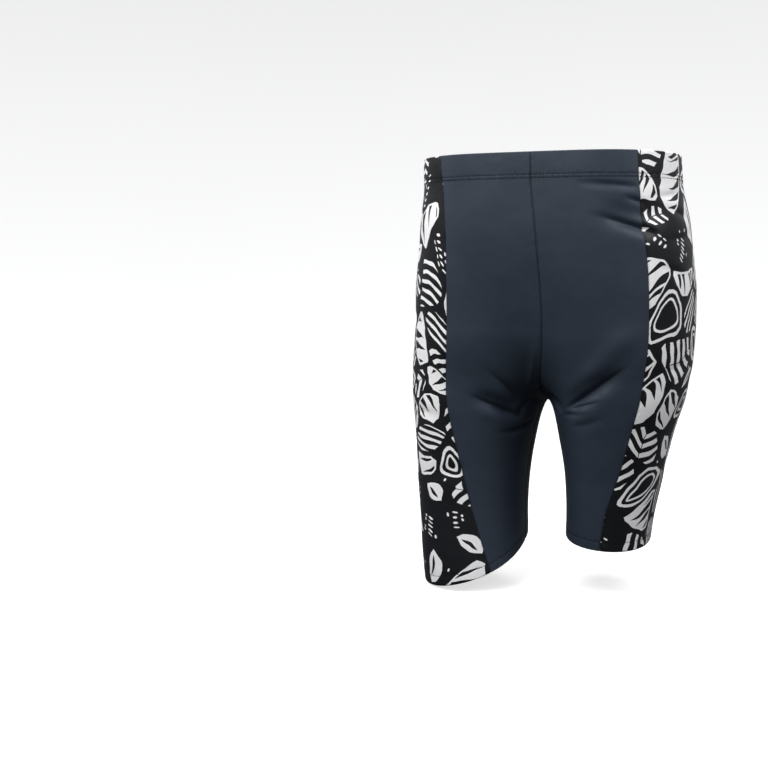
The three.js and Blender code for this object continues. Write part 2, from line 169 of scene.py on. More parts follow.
# Creases, each between two places on one leg: angle and level of its start and its end, how far it sags
# between them, its half-width above and below its line, and its depth (less than nothing is a ridge).
# A narrow one grows slowly from its start and is deepest close to its end
CREASES = {
    "left": (
        # large ones, as in the solids
        (10, -49, 62, -44, 0, 15, 15, 3.2),
        (18, -193, -26, -236, 0, 11, 11, 3.6),
        # hip, below the waistband
        (-4, -17, 40, -22, 0, 3.5, 5, 1.7),
        (24, -30, 42, -37, 0, 3, 5, 1.3),
        (4, -46, 50, -68, -1, 4.5, 9, 3.8),
        # front of the thigh, running down into the fork
        (22, -186, -27, -238, 2, 3.2, 7, 3.4),
        (30, -149, -14, -217, -3, 13, 13, -1.8),
        (3, -224, -22, -236, 0, 2.8, 5, 2.0),
        (-6, -238, -28, -241, 0, 2.6, 4.5, 1.5),
        (8, -236, -20, -252, 3, 5, 9, 1.0),
        (-56, -223, -27, -241, -4, 8, 6, 4.0),
        # beside the seat pad
        (168, -149, 202, -170, 3, 3, 5, 2.1),
        (170, -167, 197, -183, 2, 3, 5, 1.8),
        (172, -183, 193, -193, 1, 2.6, 4, 1.3),
        # under the seat
        (172, -241, 230, -238, -6, 3, 5, 2.1),
        (170, -253, 218, -271, -3, 3, 5, 2.2),
        (177, -268, 233, -275, 5, 2.8, 4.6, 2.2),
        (195, -286, 228, -271, 0, 2.8, 4.4, 1.9),
        # soft ones below the back of the waistband and outside the hip
        (166, -15, 200, -34, 3, 6, 8, 1.2),
        (96, -27, 140, -36, 4, 6, 8, 0.9),
        (92, -215, 138, -228, -5, 12, 14, 1.3),
        (40, -30, 78, -24, 2, 4, 6, 1.3),
        (48, -42, 88, -52, -3, 5, 7, 1.4),
        (44, -70, 92, -62, 4, 6, 9, 1.3),
        (38, -98, 74, -108, -3, 6, 9, 0.9),
        (30, -196, 72, -188, 4, 7, 9, 1.1),
        (62, -300, 122, -292, 5, 9, 12, 0.9),
    ),
    "right": (
        # large one, as in the solids
        (-6, -222, -50, -247, 0, 10, 10, 3.2),
        # front of the thigh, running down into the fork
        (-4, -221, -56, -249, 3, 3, 7, 3.0),
        (-12, -194, -52, -241, 0, 6, 8.5, 2.4),
        (-34, -156, -48, -228, 0, 5, 5, -1.5),
        (-45, -186, -56, -226, 0, 4, 4, 1.7),
        (-26, -261, -78, -252, 5, 2.8, 5, 2.3),
        (-62, -229, -49, -252, -3, 8, 6, 3.8),
        # hip, below the waistband and further down
        (20, -116, 52, -120, 2, 5, 7, 0.7),
        (70, -24, 112, -30, -2, 6, 8, 1.0),
        (38, -34, 84, -46, 3, 5, 7, 1.1),
        (30, -150, 84, -160, -4, 8, 10, 1.0),
        (-2, -246, 52, -236, 4, 6, 9, 1.3),
        (-16, -300, 36, -312, -3, 8, 10, 0.9),
        # under the seat
        (174, -281, 210, -259, 3, 2.8, 4.4, 2.1),
        (179, -295, 204, -272, 3, 2.8, 4.4, 2.0),
        (188, -263, 216, -251, 2, 3, 5, 1.5),
        (196, -305, 226, -284, 2, 3.4, 5, 1.3),
    ),
}

# How a crease is formed, from its reach and its shoulders to the sharp bottom of a small one
CREASE_STEPS = 14
CREASE_REACH = 3.2
SHOULDER = 0.6
CREASE_FADE = 0.35
SMALL_CREASE = 9.5
FADE_IN = 0.6
FADE_OUT = 0.3
SOFT_SHARE = 0.6
CRISP = 0.75
CRISP_FALL = 2.4

# The angle round a leg past which a row no longer follows the front's or the back's middle line
SIDE_REACH = 60.0

# The seat pad from its rounded back end to its front end: share of its length, half-width
PAD = ((0, 22), (0.07, 42), (0.2, 60), (0.38, 67), (0.55, 62), (0.75, 42), (0.93, 30), (1, 20))

# Search limits and steps of the surface
FAR = 400.0
FORK_FROM = -150.0
FORK_TO = -320.0
HALVINGS = 30
PROBE = 0.4
PAST_MIDDLE = 1.0
SEAM_TRIES = 12
ROW_CROWDING = 0.45
LINE_STEPS = 800
ROW_SAMPLES = 240


def mix(a, b, t):
    return a + (b - a) * t


def ease(t):
    s = np.clip(t, 0, 1)
    return s * s * (3 - 2 * s)


def unit(vectors):
    return vectors / np.maximum(np.linalg.norm(vectors, axis=-1, keepdims=True), 1e-9)


def smooth_curve(xs, ys):
    """A smooth curve through the points that never overshoots between two of them."""
    steps = np.diff(xs)
    slopes = np.diff(ys) / steps
    tangents = np.empty(len(xs))
    tangents[0] = slopes[0]
    tangents[-1] = slopes[-1]
    for i in range(1, len(xs) - 1):
        before = slopes[i - 1]
        after = slopes[i]
        weight_before = 2 * steps[i] + steps[i - 1]
        weight_after = steps[i] + 2 * steps[i - 1]
        if before * after <= 0:
            tangents[i] = 0
        else:
            tangents[i] = (weight_before + weight_after) / (weight_before / before + weight_after / after)

    def curve(x):
        at = np.clip(x, xs[0], xs[-1])
        i = np.clip(np.searchsorted(xs, at, side="right") - 1, 0, len(steps) - 1)
        t = (at - xs[i]) / steps[i]
        leave = t * (1 - t) ** 2 * tangents[i]
        arrive = t * t * (t - 1) * tangents[i + 1]
        return ys[i] + (ys[i + 1] - ys[i]) * t * t * (3 - 2 * t) + (leave + arrive) * steps[i]

    return curve


def curves(columns, rows):
    table = np.array(rows, float)
    return {name: smooth_curve(table[:, 0], table[:, k + 1]) for k, name in enumerate(columns)}


body = curves(BODY_COLUMNS, BODY)
stance = {side: curves(STANCE_COLUMNS, STANCE[side]) for side in SIDES}
seams = {side: curves(SEAM_COLUMNS, SEAMS[side]) for side in SIDES}
centre_front = curves(("stray",), CENTRE_FRONT)["stray"]
pad_half_width = curves(("half",), PAD)["half"]


def axis_of(side, level):
    """A leg's axis on a level: its distance from the middle plane, and its place along Y."""
    out = body["axis"](level) + stance[side]["outwards"](level)
    return out, body["aft"](level) - stance[side]["forwards"](level)


def section(level):
    """Both legs' ovals on a level, and their blend."""
    ovals = []
    for side in SIDES:
        out, y = axis_of(side, level)
        wide = 1 + stance[side]["width"](level)
        deep = 1 + stance[side]["depth"](level)
        reach = (body["outer"](level) * wide, body["inner"](level) * wide)
        depth = (body["front"](level) * deep, body["back"](level) * deep)
        ovals.append((SIGN[side], out, y, reach, depth))
    return ovals, body["blend"](level)


def oval_distance(oval, x, y):
    sign, axis, middle, (outer, inner), (front, back) = oval
    out = sign * x - axis
    behind = y - middle
    across = np.where(out > 0, outer, inner)
    along = np.where(behind < 0, front, back)
    share = (np.abs(out / across) ** OVAL + np.abs(behind / along) ** OVAL) ** (1 / OVAL)
    return np.hypot(out, behind) * (1 - 1 / np.maximum(share, 1e-6))


def distance_in(cut, x, y):
    """Signed distance to the whole outer surface on a section: both ovals with a soft blend."""
    ovals, blend = cut
    a = oval_distance(ovals[0], x, y)
    b = oval_distance(ovals[1], x, y)
    near = np.maximum(blend - np.abs(a - b), 0) / blend
    return np.minimum(a, b) - near**3 * blend / 6


def distance(x, y, level):
    return distance_in(section(level), x, y)


def slope_at(places):
    x, y, z = places[..., 0], places[..., 1], places[..., 2]
    level = section(z)
    steps = (
        distance_in(level, x + PROBE, y) - distance_in(level, x - PROBE, y),
        distance_in(level, x, y + PROBE) - distance_in(level, x, y - PROBE),
        distance(x, y, z + PROBE) - distance(x, y, z - PROBE),
    )
    return np.stack(steps, axis=-1) / (2 * PROBE)


def outwards(places):
    return unit(slope_at(places))


def halve(test, shape):
    """The share of a way at which the test turns from true to false."""
    low = np.zeros(shape)
    high = np.ones(shape)
    for _ in range(HALVINGS):
        middle = (low + high) / 2
        inside = test(middle)
        low = np.where(inside, middle, low)
        high = np.where(inside, high, middle)
    return (low + high) / 2


def middle_y(level):
    return (axis_of("left", level)[1] + axis_of("right", level)[1]) / 2


def middle_point(x, level, sign):
    """The surface in front of (sign -1) or behind (sign 1) a place near the middle."""
    cut = section(level)
    y = middle_y(level)
    share = halve(lambda t: distance_in(cut, x, y + sign * FAR * t) < 0, np.shape(level))
    return np.stack([x, y + sign * FAR * share, level], axis=-1)


def find_fork():
    """The lowest place of the surface on the middle plane."""

    def level(t):
        return mix(FORK_FROM, FORK_TO, t)

    share = halve(lambda t: distance(np.zeros(1), middle_y(level(t)), level(t)) < 0, (1,))
    return np.array([0.0, middle_y(level(share))[0], level(share)[0]])


FORK = find_fork()


def leg_point(side, angle, level):
    """The surface at an angle round a leg's axis, on one level."""
    angle, level = np.broadcast_arrays(np.asarray(angle, float), np.asarray(level, float))
    out, y = axis_of(side, level)
    turn = np.radians(angle)
    inwards = np.maximum(-np.sin(turn), 1e-9)
    past = np.where(level > FORK[2], np.abs(centre_front(level)) + PAST_MIDDLE, 0)
    length = np.minimum(FAR, (out + past) / inwards)
    x0 = SIGN[side] * out
    dx = SIGN[side] * np.sin(turn) * length
    dy = -np.cos(turn) * length
    cut = section(level)
    share = halve(lambda t: distance_in(cut, x0 + dx * t, y + dy * t) < 0, level.shape)
    return np.stack([x0 + dx * share, y + dy * share, level], axis=-1)


def angle_of(side, places):
    out, y = axis_of(side, places[..., 2])
    return np.degrees(np.arctan2(SIGN[side] * places[..., 0] - out, y - places[..., 1]))


def run_lengths(line):
    steps = np.linalg.norm(np.diff(line, axis=0), axis=1)
    return np.concatenate([[0], np.cumsum(steps)])


def along_line(at, knots, line):
    """Places along a line whose own points stand at the knots."""
    return np.stack([np.interp(at, knots, line[:, k]) for k in range(line.shape[1])], -1)


def at_shares(line, shares):
    """Places at given shares of a line's length."""
    lengths = run_lengths(line)
    return along_line(shares * lengths[-1], lengths, line)


def middle_line(sign, top, stray):
    """The middle of the surface in front or behind, from a top level down to the fork."""
    share = np.linspace(0, 1, LINE_STEPS + 1)
    level = mix(FORK[2], top, (1 - share) ** 2)
    line = middle_point(stray(level), level, sign)
    line[-1] = FORK
    return line


def straight(level):
    return np.zeros_like(level)


ROW_SHARES = np.linspace(0, 1, ROW_SAMPLES + 1)
CROWDED = mix(ROW_SHARES, 1 - (1 - ROW_SHARES) ** 2, ROW_CROWDING)
FRONT_LINE = at_shares(middle_line(-1, PANEL_TOP, centre_front), CROWDED)
BACK_LINE = at_shares(middle_line(1, PANEL_TOP, straight), CROWDED)


def hem_level(side, angle):
    inside, drop, nod = HEM[side]
    turn = np.radians(angle)
    return inside - drop * (1 + np.sin(turn)) / 2 - nod * np.cos(turn)


def row_start(side, row):
    below = np.full(np.shape(row), -90.0)
    return np.where(row < 1, np.interp(row, ROW_SHARES, angle_of(side, FRONT_LINE)), below)


def row_end(side, row):
    below = np.full(np.shape(row), 270.0)
    return np.where(row < 1, np.interp(row, ROW_SHARES, angle_of(side, BACK_LINE) + 360), below)


def level_on(side, row, angle):
    """The level of a row at an angle: rows to 1 are above the fork, to 2 below it and to 3 the hem."""
    start = row_start(side, row)
    end = row_end(side, row)
    side_level = mix(PANEL_TOP, FORK[2], np.minimum(row, 1))
    front_level = np.interp(row, ROW_SHARES, FRONT_LINE[:, 2])
    back_level = np.interp(row, ROW_SHARES, BACK_LINE[:, 2])
    rise = ease((angle - start) / (SIDE_REACH - start))
    fall = ease((end - angle) / (end - (180 - SIDE_REACH)))
    above = side_level + (front_level - side_level) * (1 - rise) + (back_level - side_level) * (1 - fall)
    edge = hem_level(side, angle)
    below = mix(FORK[2], edge + HEM_DEPTH, np.clip(row - 1, 0, 1)) - HEM_DEPTH * np.clip(row - 2, 0, 1)
    return np.where(row < 1, above, below)


def seam_angle(side, row, name):
    angle = np.full(np.shape(row), 90.0)
    for _ in range(SEAM_TRIES):
        angle = seams[side][name](level_on(side, row, angle))
    return angle


def front_seam(side, row):
    return seam_angle(side, row, "front")


def back_seam(side, row):
    return seam_angle(side, row, "back")


PANEL_EDGES = {
    "front": (row_start, front_seam),
    "side": (front_seam, back_seam),
    "back": (back_seam, row_end),
}


def crease_lines():
    lines = []
    for side in SIDES:
        for start, top, end, bottom, sag, above, below, depth in CREASES[side]:
            t = np.linspace(0, 1, CREASE_STEPS + 1)
            levels = mix(top, bottom, t) - 4 * sag * t * (1 - t)
            lines.append((leg_point(side, mix(start, end, t), levels), above, below, depth))
    return lines


CREASE_LINES = crease_lines()


def close_to(places, line, reach):
    """Which places lie in a line's box, grown by a reach."""
    return np.all((places > line.min(0) - reach) & (places < line.max(0) + reach), axis=1)


def nearest_on(line, places):
    """How far places lie from a line of points, the nearest place on it, and its share of the line."""
    best = np.full(len(places), np.inf)
    share = np.zeros(len(places))
    foot = np.zeros((len(places), 3))
    for i in range(len(line) - 1):
        way = line[i + 1] - line[i]
        t = np.clip(((places - line[i]) @ way) / (way @ way), 0, 1)
        on = line[i] + t[:, None] * way
        away = np.linalg.norm(places - on, axis=1)
        closer = away < best
        best = np.where(closer, away, best)
        share = np.where(closer, (i + t) / (len(line) - 1), share)
        foot = np.where(closer[:, None], on, foot)
    return best, foot, share


def relief(places, strength=1.0):
    """How far the creases lift the cloth, which is less than nothing in a trough."""
    flat = places.reshape(-1, 3)
    height = np.zeros(len(flat))
    for line, above, below, depth in CREASE_LINES:
        near = close_to(flat, line, CREASE_REACH * max(above, below))
        if not near.any():
            continue
        away, foot, share = nearest_on(line, flat[near])
        over = flat[near][:, 2] - foot[:, 2]
        lean = 0.5 + 0.5 * np.clip(over / np.maximum(away, 1e-6), -1, 1)
        q = (away / mix(below, above, lean)) ** 2
        form = (1 - SHOULDER * q) * np.exp(-q)
        if max(above, below) > SMALL_CREASE:
            fade = ease(np.minimum(share, 1 - share) / CREASE_FADE)
        else:
            fade = ease(share / FADE_IN) * ease((1 - share) / FADE_OUT)
            form = SOFT_SHARE * form + CRISP * np.exp(-CRISP_FALL * np.sqrt(q))
        height[near] -= depth * fade * form
    return strength * height.reshape(places.shape[:-1])


# How finely the visible pieces are drawn
PANEL_STEP = 1.55
EDGE_STEPS = (0.0, 0.35, 0.8, 1.4, 2.2, 3.4)
ROWS_ABOVE = 160
ROWS_BELOW = 86
HEM_STEPS = (0.6, 1.3, 2.6, 4.4, 6.4, 8.2, 9.4, 10.0, 10.4, 10.75, 11.0)
FIRST_ROWS = (0.15, 0.4)
SPAN_TO = 0.9
SPANS_A_WIDTH = 2.4
LEG_LENGTH = 400.0
PRINT_STEP = 4.6
OUTLINE_STEP = 2.6

# Finishing of the cloth's edges
SEAM_DIP = 0.6
SEAM_WIDTH = 1.1
HEM_LINE = 9.6
HEM_GROOVE = 0.22
GROOVE_WIDTH = 0.9
LIP = 0.75
ARCH_DIP = 1.1
ARCH_WIDTH = 3.2
ARCH_TWIN = 2.0
ARCH_RIDGE = 0.9
ARCH_RIDGE_IN = 8.0
ARCH_RIDGE_WIDTH = 5.0
ARCH_WELT = 0.45
ARCH_WELT_WIDTH = 1.1
ARCH_FADE = 0.08
ARCH_RUN_STEP = 1.5
ARCH_SEARCH = 30.0
ARCH_OVER = 20.0
FROM_STITCHES = 40.0

# The waistband's gathers, strong ones between two angles and faint ones all round
GATHERS_FROM = 136.0
GATHERS_GROW = 8.0
GATHERS_TO = 177.0
GATHERS_END = 5.0
GATHER_PITCH = 7.8
GATHER_WIDTH = 1.5
GATHER_DEPTH = 1.0
GATHER_EVEN = 0.65
GATHER_SWAY = 0.22
GATHER_LEAN = 0.02
GATHER_FADE = 7.0
RUCHE_PITCH = 4.7
RUCHE_DEPTH = 0.05
RUCHE_SWAY = 1.7
SWAY_LENGTHS = (11.0, 7.0, 13.0)

# The slanting pinch in the waistband: angle and level of its two ends, its width, depth and fade
PINCH = (204.0, 13.0, 198.0, -14.0)
PINCH_STEPS = 5
PINCH_WIDTH = 1.7
PINCH_DEPTH = 2.0
PINCH_FADE = 0.2


def spaced_shares(width, step, edges):
    """Shares across a panel: close together at both edges, and evenly spaced between them."""
    near = np.array(edges) / width
    count = int(round((width - 2 * edges[-1]) / step))
    between = np.linspace(near[-1], 1 - near[-1], count + 1)
    return np.concatenate([near[:-1], between, 1 - near[-2::-1]])


def panel_rows():
    above = np.linspace(0, 1, ROWS_ABOVE + 1)
    first = np.array(FIRST_ROWS) / ROWS_ABOVE
    below = 1 + np.linspace(0, 1, ROWS_BELOW + 1)[1:]
    hem = 2 + np.array(HEM_STEPS) / HEM_DEPTH
    return np.concatenate([above[:1], first, above[1:], below, hem])


def facing_out(grid, places):
    """Normals of a grid of places, on the side that faces out of the shorts."""
    across = np.gradient(grid, axis=1)
    along = np.gradient(grid, axis=0)
    normal = unit(np.cross(across, along))
    return normal * np.sign(np.sum(normal * outwards(places)))


class Surface:
    """A finely drawn piece of the outer surface, over rows and over shares across."""

    def __init__(self, rows, shares, places, lift, wall):
        self.rows = rows
        self.shares = shares
        normal = outwards(places)
        self.grid = places + lift[..., None] * normal
        self.normal = facing_out(self.grid, places)
        self.wall = wall
        middle = self.grid[:, len(shares) // 2]
        self.height = -run_lengths(middle)
        steps = np.linalg.norm(np.diff(self.grid, axis=1), axis=2)
        self.width = steps.sum(axis=1)

    def flat(self):
        """Each place's own coordinates on the flattened cloth, across from the middle and down."""
        across = (self.shares[None, :] - 0.5) * self.width[:, None]
        down = np.broadcast_to(self.height[:, None], across.shape)
        return np.stack([across, down], axis=-1)

    def sample(self, flat, values):
        """Values of the grid at places of the flattened cloth."""
        row = np.interp(-flat[:, 1], -self.height, np.arange(len(self.rows)))
        width = np.interp(row, np.arange(len(self.rows)), self.width)
        share = np.clip(flat[:, 0] / width + 0.5, 0, 1)
        column = np.interp(share, self.shares, np.arange(len(self.shares)))
        r = np.clip(row.astype(int), 0, len(self.rows) - 2)
        c = np.clip(column.astype(int), 0, len(self.shares) - 2)
        tr = (row - r).reshape((-1,) + (1,) * (values.ndim - 2))
        tc = (column - c).reshape((-1,) + (1,) * (values.ndim - 2))
        top = mix(values[r, c], values[r, c + 1], tc)
        return mix(top, mix(values[r + 1, c], values[r + 1, c + 1], tc), tr)


def bell(offset, width):
    return np.exp(-((offset / width) ** 2))


def lip_roll(from_edge, wall):
    """How far a free edge rolls in towards the middle of its wall."""
    t = 1 - np.clip(from_edge / LIP, 0, 1)
    return wall / 2 * (1 - np.sqrt(np.maximum(1 - t * t, 0)))


def seam_way(places):
    """How far places lie outside the line on which the seat pad is sewn in, and the line's hold there.

    The way is less than nothing inside the line, and the hold fades to nothing at the line's two ends.
    """
    flat = places.reshape(-1, 3)
    way = np.full(len(flat), FROM_STITCHES)
    hold = np.zeros(len(flat))
    near = close_to(flat, ARCH_LINE, ARCH_SEARCH)
    if near.any():
        away, foot, share = nearest_on(ARCH_LINE, flat[near])
        aside = along_line(share, np.linspace(0, 1, len(ARCH_LINE)), ARCH_ASIDE)
        side = np.sign(np.sum((flat[near] - foot) * aside, axis=1))
        way[near] = np.clip(away * np.where(side == 0, 1, side), -FROM_STITCHES, FROM_STITCHES)
        hold[near] = ease(np.minimum(share, 1 - share) / ARCH_FADE)
    return way.reshape(places.shape[:-1]), hold.reshape(places.shape[:-1])


def panel_shares(side, rows, start, end):
    """Shares across a panel, as many as its mean width asks for."""
    middle = leg_point(side, (start + end) / 2, level_on(side, rows, (start + end) / 2))
    near_edge = mix(start, end, SPAN_TO)
    span = leg_point(side, near_edge, level_on(side, rows, near_edge))
    width = SPANS_A_WIDTH * float(np.mean(np.linalg.norm(span - middle, axis=1)))
    return spaced_shares(width, PANEL_STEP, EDGE_STEPS)


def panel_places(kind, side, rows, shares, start, end):
    """A panel's places, with its middle edge on the middle line of the front or the back."""
    angles = start[:, None] + (end - start)[:, None] * shares[None, :]
    grid_rows = np.broadcast_to(rows[:, None], angles.shape)
    places = leg_point(side, angles, level_on(side, grid_rows, angles))
    upper = rows < 1
    if kind == "front":
        places[upper, 0] = along_line(rows[upper], ROW_SHARES, FRONT_LINE)
    if kind == "back":
        places[upper, -1] = along_line(rows[upper], ROW_SHARES, BACK_LINE)
    return places


def from_seams(places, shares):
    """How far each place lies from the nearer of its two seams."""
    steps = np.linalg.norm(np.diff(places, axis=1), axis=2).sum(axis=1)
    return (0.5 - np.abs(shares - 0.5))[None, :] * steps[:, None]


def sewn_in(way, hold):
    """The cloth's lift along the seat pad's sewn line: a dip, the welt in it and a ridge inside it."""
    lift = -ARCH_DIP * bell(way, ARCH_WIDTH) + ARCH_WELT * bell(way, ARCH_WELT_WIDTH)
    return hold * (lift + ARCH_RIDGE * bell(way + ARCH_RIDGE_IN, ARCH_RIDGE_WIDTH))


def panel_surface(kind, side, sizes):
    """A panel's outer face, with its creases, seams, hem and the seat pad's sewn line."""
    rows = panel_rows()
    start, end = (edge(side, rows) for edge in PANEL_EDGES[kind])
    shares = panel_shares(side, rows, start, end)
    places = panel_places(kind, side, rows, shares, start, end)
    to_seam = from_seams(places, shares)
    in_hem = rows >= 2
    to_edge = np.where(in_hem, HEM_DEPTH * (3 - rows), HEM_DEPTH + LEG_LENGTH * (2 - rows))[:, None]
    wall = np.where(in_hem, sizes.hem_wall / MM, sizes.cloth_wall / MM)[:, None] + np.zeros_like(to_seam)
    way, hold = seam_way(places)
    roll = lip_roll(to_edge, wall)
    lift = relief(places, sizes.crease_strength) + gathers(places) * sizes.gather_strength
    lift = lift - SEAM_DIP * bell(to_seam, SEAM_WIDTH)
    lift = lift - HEM_GROOVE * bell(to_edge - HEM_LINE, GROOVE_WIDTH)
    surface = Surface(rows, shares, places, lift - roll + sewn_in(way, hold), wall - 2 * roll)
    surface.to_seam = to_seam
    from_arch = np.abs(np.abs(way) - ARCH_TWIN) + ARCH_OVER * (1 - hold)
    surface.sewn = np.minimum(np.abs(to_edge - HEM_LINE), from_arch)
    return surface


# The seat pad's flat shape, and its place on the surface

def pad_spine():
    back = middle_line(1, PAD_TOP, straight)
    front = middle_line(-1, PAD_FRONT, straight)[::-1]
    return np.concatenate([back, front[1:]])


PAD_SPINE = pad_spine()
PAD_LENGTH = run_lengths(PAD_SPINE)[-1]
WALK_STEPS = 24
SETTLE_STEPS = 2


def settle(places):
    """Newton steps back on to the surface."""
    on = places.copy()
    for _ in range(SETTLE_STEPS):
        slope = slope_at(on)
        off = distance(on[..., 0], on[..., 1], on[..., 2])
        on -= slope * (off / np.sum(slope**2, axis=-1))[..., None]
    return on


def walk(start, across):
    """Places at signed distances to the side of places on the pad's middle line, along the surface."""
    at = start.copy()
    heading = np.zeros_like(at)
    heading[:, 0] = np.sign(across)
    step = np.abs(across)[:, None] / WALK_STEPS
    for _ in range(WALK_STEPS):
        normal = outwards(at)
        heading = unit(heading - normal * np.sum(heading * normal, axis=1, keepdims=True))
        ahead = settle(at + heading * step)
        heading = np.where(step > 1e-6, unit(ahead - at), heading)
        at = ahead
    return at


def pad_place(along, across):
    """A place of the pad's flat shape on the surface, by its way from the back and to the side."""
    return walk(at_shares(PAD_SPINE, np.clip(along / PAD_LENGTH, 0, 1)), across)


# The sewn line of the seat pad
ARCH_END = 0.62
ARCH_POINTS = 60
ARCH_IN = 1.5
ARCH_BULGE = 4.0
CAP_POINTS = 12


def arch_flat():
    """The sewn line on the flat pad: up one side from under the seat, round the back and down again."""
    share = np.linspace(ARCH_END, 0, ARCH_POINTS)
    side = np.stack([share * PAD_LENGTH, pad_half_width(share) - ARCH_IN], axis=1)
    across = np.linspace(side[-1, 1], -side[-1, 1], CAP_POINTS)[1:-1]
    bulge = -ARCH_BULGE * (1 - (across / side[-1, 1]) ** 2)
    cap = np.stack([bulge, across], axis=1)
    return np.concatenate([side, cap, (side * (1, -1))[::-1]])


def arch_path(offset, step):
    """The sewn line on the surface, moved outwards on the flat pad, with places about a step apart."""
    line = arch_flat()
    way = unit(np.gradient(line, axis=0))
    aside = np.stack([-way[:, 1], way[:, 0]], axis=1)
    if np.sum(aside * (line - (ARCH_END / 2 * PAD_LENGTH, 0))) < 0:
        aside = -aside
    moved = line + offset * aside
    count = max(int(run_lengths(moved)[-1] / step), 2)
    flat = at_shares(moved, np.linspace(0, 1, count + 1))
    inside = pad_place(np.maximum(flat[:, 0], 0), flat[:, 1])
    up = np.maximum(-flat[:, 0], 0)[:, None]
    normal = outwards(inside)
    rise = unit(np.array([0.0, 0.0, 1.0]) - normal * normal[:, 2:3])
    return settle(inside + rise * up)


def arch_aside(line):
    """The direction away from the pad at each place of its sewn line."""
    aside = unit(np.cross(np.gradient(line, axis=0), outwards(line)))
    middle = at_shares(PAD_SPINE, np.array([ARCH_END / 2]))[0]
    return aside * np.sign(np.sum(aside * (line - middle)))


ARCH_STEP = 5.0
ARCH_LINE = arch_path(0.0, ARCH_STEP)
ARCH_ASIDE = arch_aside(ARCH_LINE)


# The waistband, over heights and over shares of each of its sewn lengths

def ring_point(around, level):
    """The surface on a level ray from the middle, at an angle from the front towards the wearer's left."""
    turn = np.radians(around)
    cut = section(level)
    x = np.sin(turn) * FAR
    y = -np.cos(turn) * FAR
    share = halve(lambda t: distance_in(cut, x * t, y * t) < 0, level.shape)
    return np.stack([x * share, y * share, level], axis=-1)


def around_of(places):
    return np.degrees(np.arctan2(places[..., 0], -places[..., 1]))


BAND_ANGLES = np.linspace(-180, 180, 361)
BAND_RUN = run_lengths(ring_point(BAND_ANGLES, np.zeros(len(BAND_ANGLES))))


def gathers(places):
    """Small gathers where the elastic draws in the left half of the back, and faint ones all round."""
    around = around_of(places)
    run = np.interp(around, BAND_ANGLES, BAND_RUN)
    pitch_sway, depth_sway, ruche_sway = (np.sin(run / length) for length in SWAY_LENGTHS)
    here = ease((around - GATHERS_FROM) / GATHERS_GROW) * ease((GATHERS_TO - around) / GATHERS_END)
    turn = run / GATHER_PITCH + GATHER_SWAY * pitch_sway + GATHER_LEAN * places[..., 2]
    furrow = bell((turn - np.round(turn)) * GATHER_PITCH, GATHER_WIDTH)
    strong = -GATHER_DEPTH * here * mix(depth_sway, 1, GATHER_EVEN) * furrow
    faint = RUCHE_DEPTH * np.cos(2 * np.pi * run / RUCHE_PITCH + RUCHE_SWAY * ruche_sway)
    below = np.maximum(PANEL_TOP - places[..., 2], 0)
    return (strong + faint) * np.exp(-((below / GATHER_FADE) ** 2))


def band_edge(name, side, level):
    """The angle round the waistband at which a seam crosses a level."""
    if name == "centre_front":
        return around_of(middle_point(centre_front(level), level, -1))
    if name == "centre_back":
        return np.full(level.shape, 180.0 * SIGN[side])
    return around_of(leg_point(side, seams[side][name](level), level))


BAND_LENGTHS = {
    "front": ("centre_front", "front"),
    "side": ("front", "back"),
    "back": ("back", "centre_back"),
}
BAND_STITCH = (-9.0, -12.4)
BAND_STEP = 1.25
BAND_ROWS = (0.0, 0.2, 0.5, 0.9, 1.4, 2.2)
BAND_ROLL = 1.2
BESIDE_STITCH = (1.2, 0.7, 0.35, 0.0, -0.35, -0.7, -1.2)
PLAIN_ROWS = 11
PLAIN_CLEAR = 1.6


def band_heights():
    """Heights of the waistband's rows, close together at both edges and beside its stitching."""
    upper = BAND_TOP - np.array(BAND_ROWS)
    middle = np.linspace(upper[-1], BAND_STITCH[0] + PLAIN_CLEAR, PLAIN_ROWS)[1:]
    beside = np.array(BESIDE_STITCH)
    lines = [BAND_STITCH[0] + beside, BAND_STITCH[1] + beside[:-2]]
    between = (BAND_STITCH[0] + BAND_STITCH[1]) / 2
    heights = np.concatenate([upper, middle, *lines, [between, PANEL_TOP]])
    return np.unique(heights.round(3))[::-1]


def band_surface(kind, side, sizes):
    heights = band_heights()
    start, end = (band_edge(name, side, heights) for name in BAND_LENGTHS[kind])
    first = ring_point(start, heights)
    last = ring_point(end, heights)
    middle = ring_point((start + end) / 2, heights)
    width = np.mean(np.linalg.norm(middle - first, axis=1) + np.linalg.norm(last - middle, axis=1))
    shares = spaced_shares(float(width), BAND_STEP, EDGE_STEPS)
    around = start[:, None] + (end - start)[:, None] * shares[None, :]
    levels = np.broadcast_to(heights[:, None], around.shape)
    places = ring_point(around, levels)
    to_seam = from_seams(places, shares)
    to_top = (BAND_TOP - heights)[:, None] + np.zeros_like(around)
    wall = np.full(around.shape, BAND_WALL)
    roll = lip_roll(to_top, wall)
    lift = BAND_SWELL * (1 - (levels / BAND_TOP) ** 2) + relief(places, sizes.crease_strength)
    lift = lift + gathers(places) * sizes.gather_strength
    lift = lift - SEAM_DIP * bell(to_seam, SEAM_WIDTH)
    for stitch in BAND_STITCH:
        lift = lift - sizes.stitch_groove / MM * bell(levels - stitch, GROOVE_WIDTH)
    lift = lift - BAND_ROLL * roll - pinch(places)
    surface = Surface(-heights, shares, places, lift, wall - 2 * roll)
    surface.to_seam = to_seam
    surface.sewn = np.min([np.abs(levels - stitch) for stitch in BAND_STITCH], axis=0)
    return surface


def pinch(places):
    """The slanting pinch in the waistband beside the centre back."""
    start, top, end, bottom = PINCH
    t = np.linspace(0, 1, PINCH_STEPS + 1)
    line = leg_point("left", mix(start, end, t), mix(top, bottom, t))
    away, _, share = nearest_on(line, places.reshape(-1, 3))
    deep = PINCH_DEPTH * bell(away, PINCH_WIDTH) * ease(share / PINCH_FADE)
    return deep.reshape(places.shape[:-1])


# Meshes, whose flat coordinates are in units of 10 mm

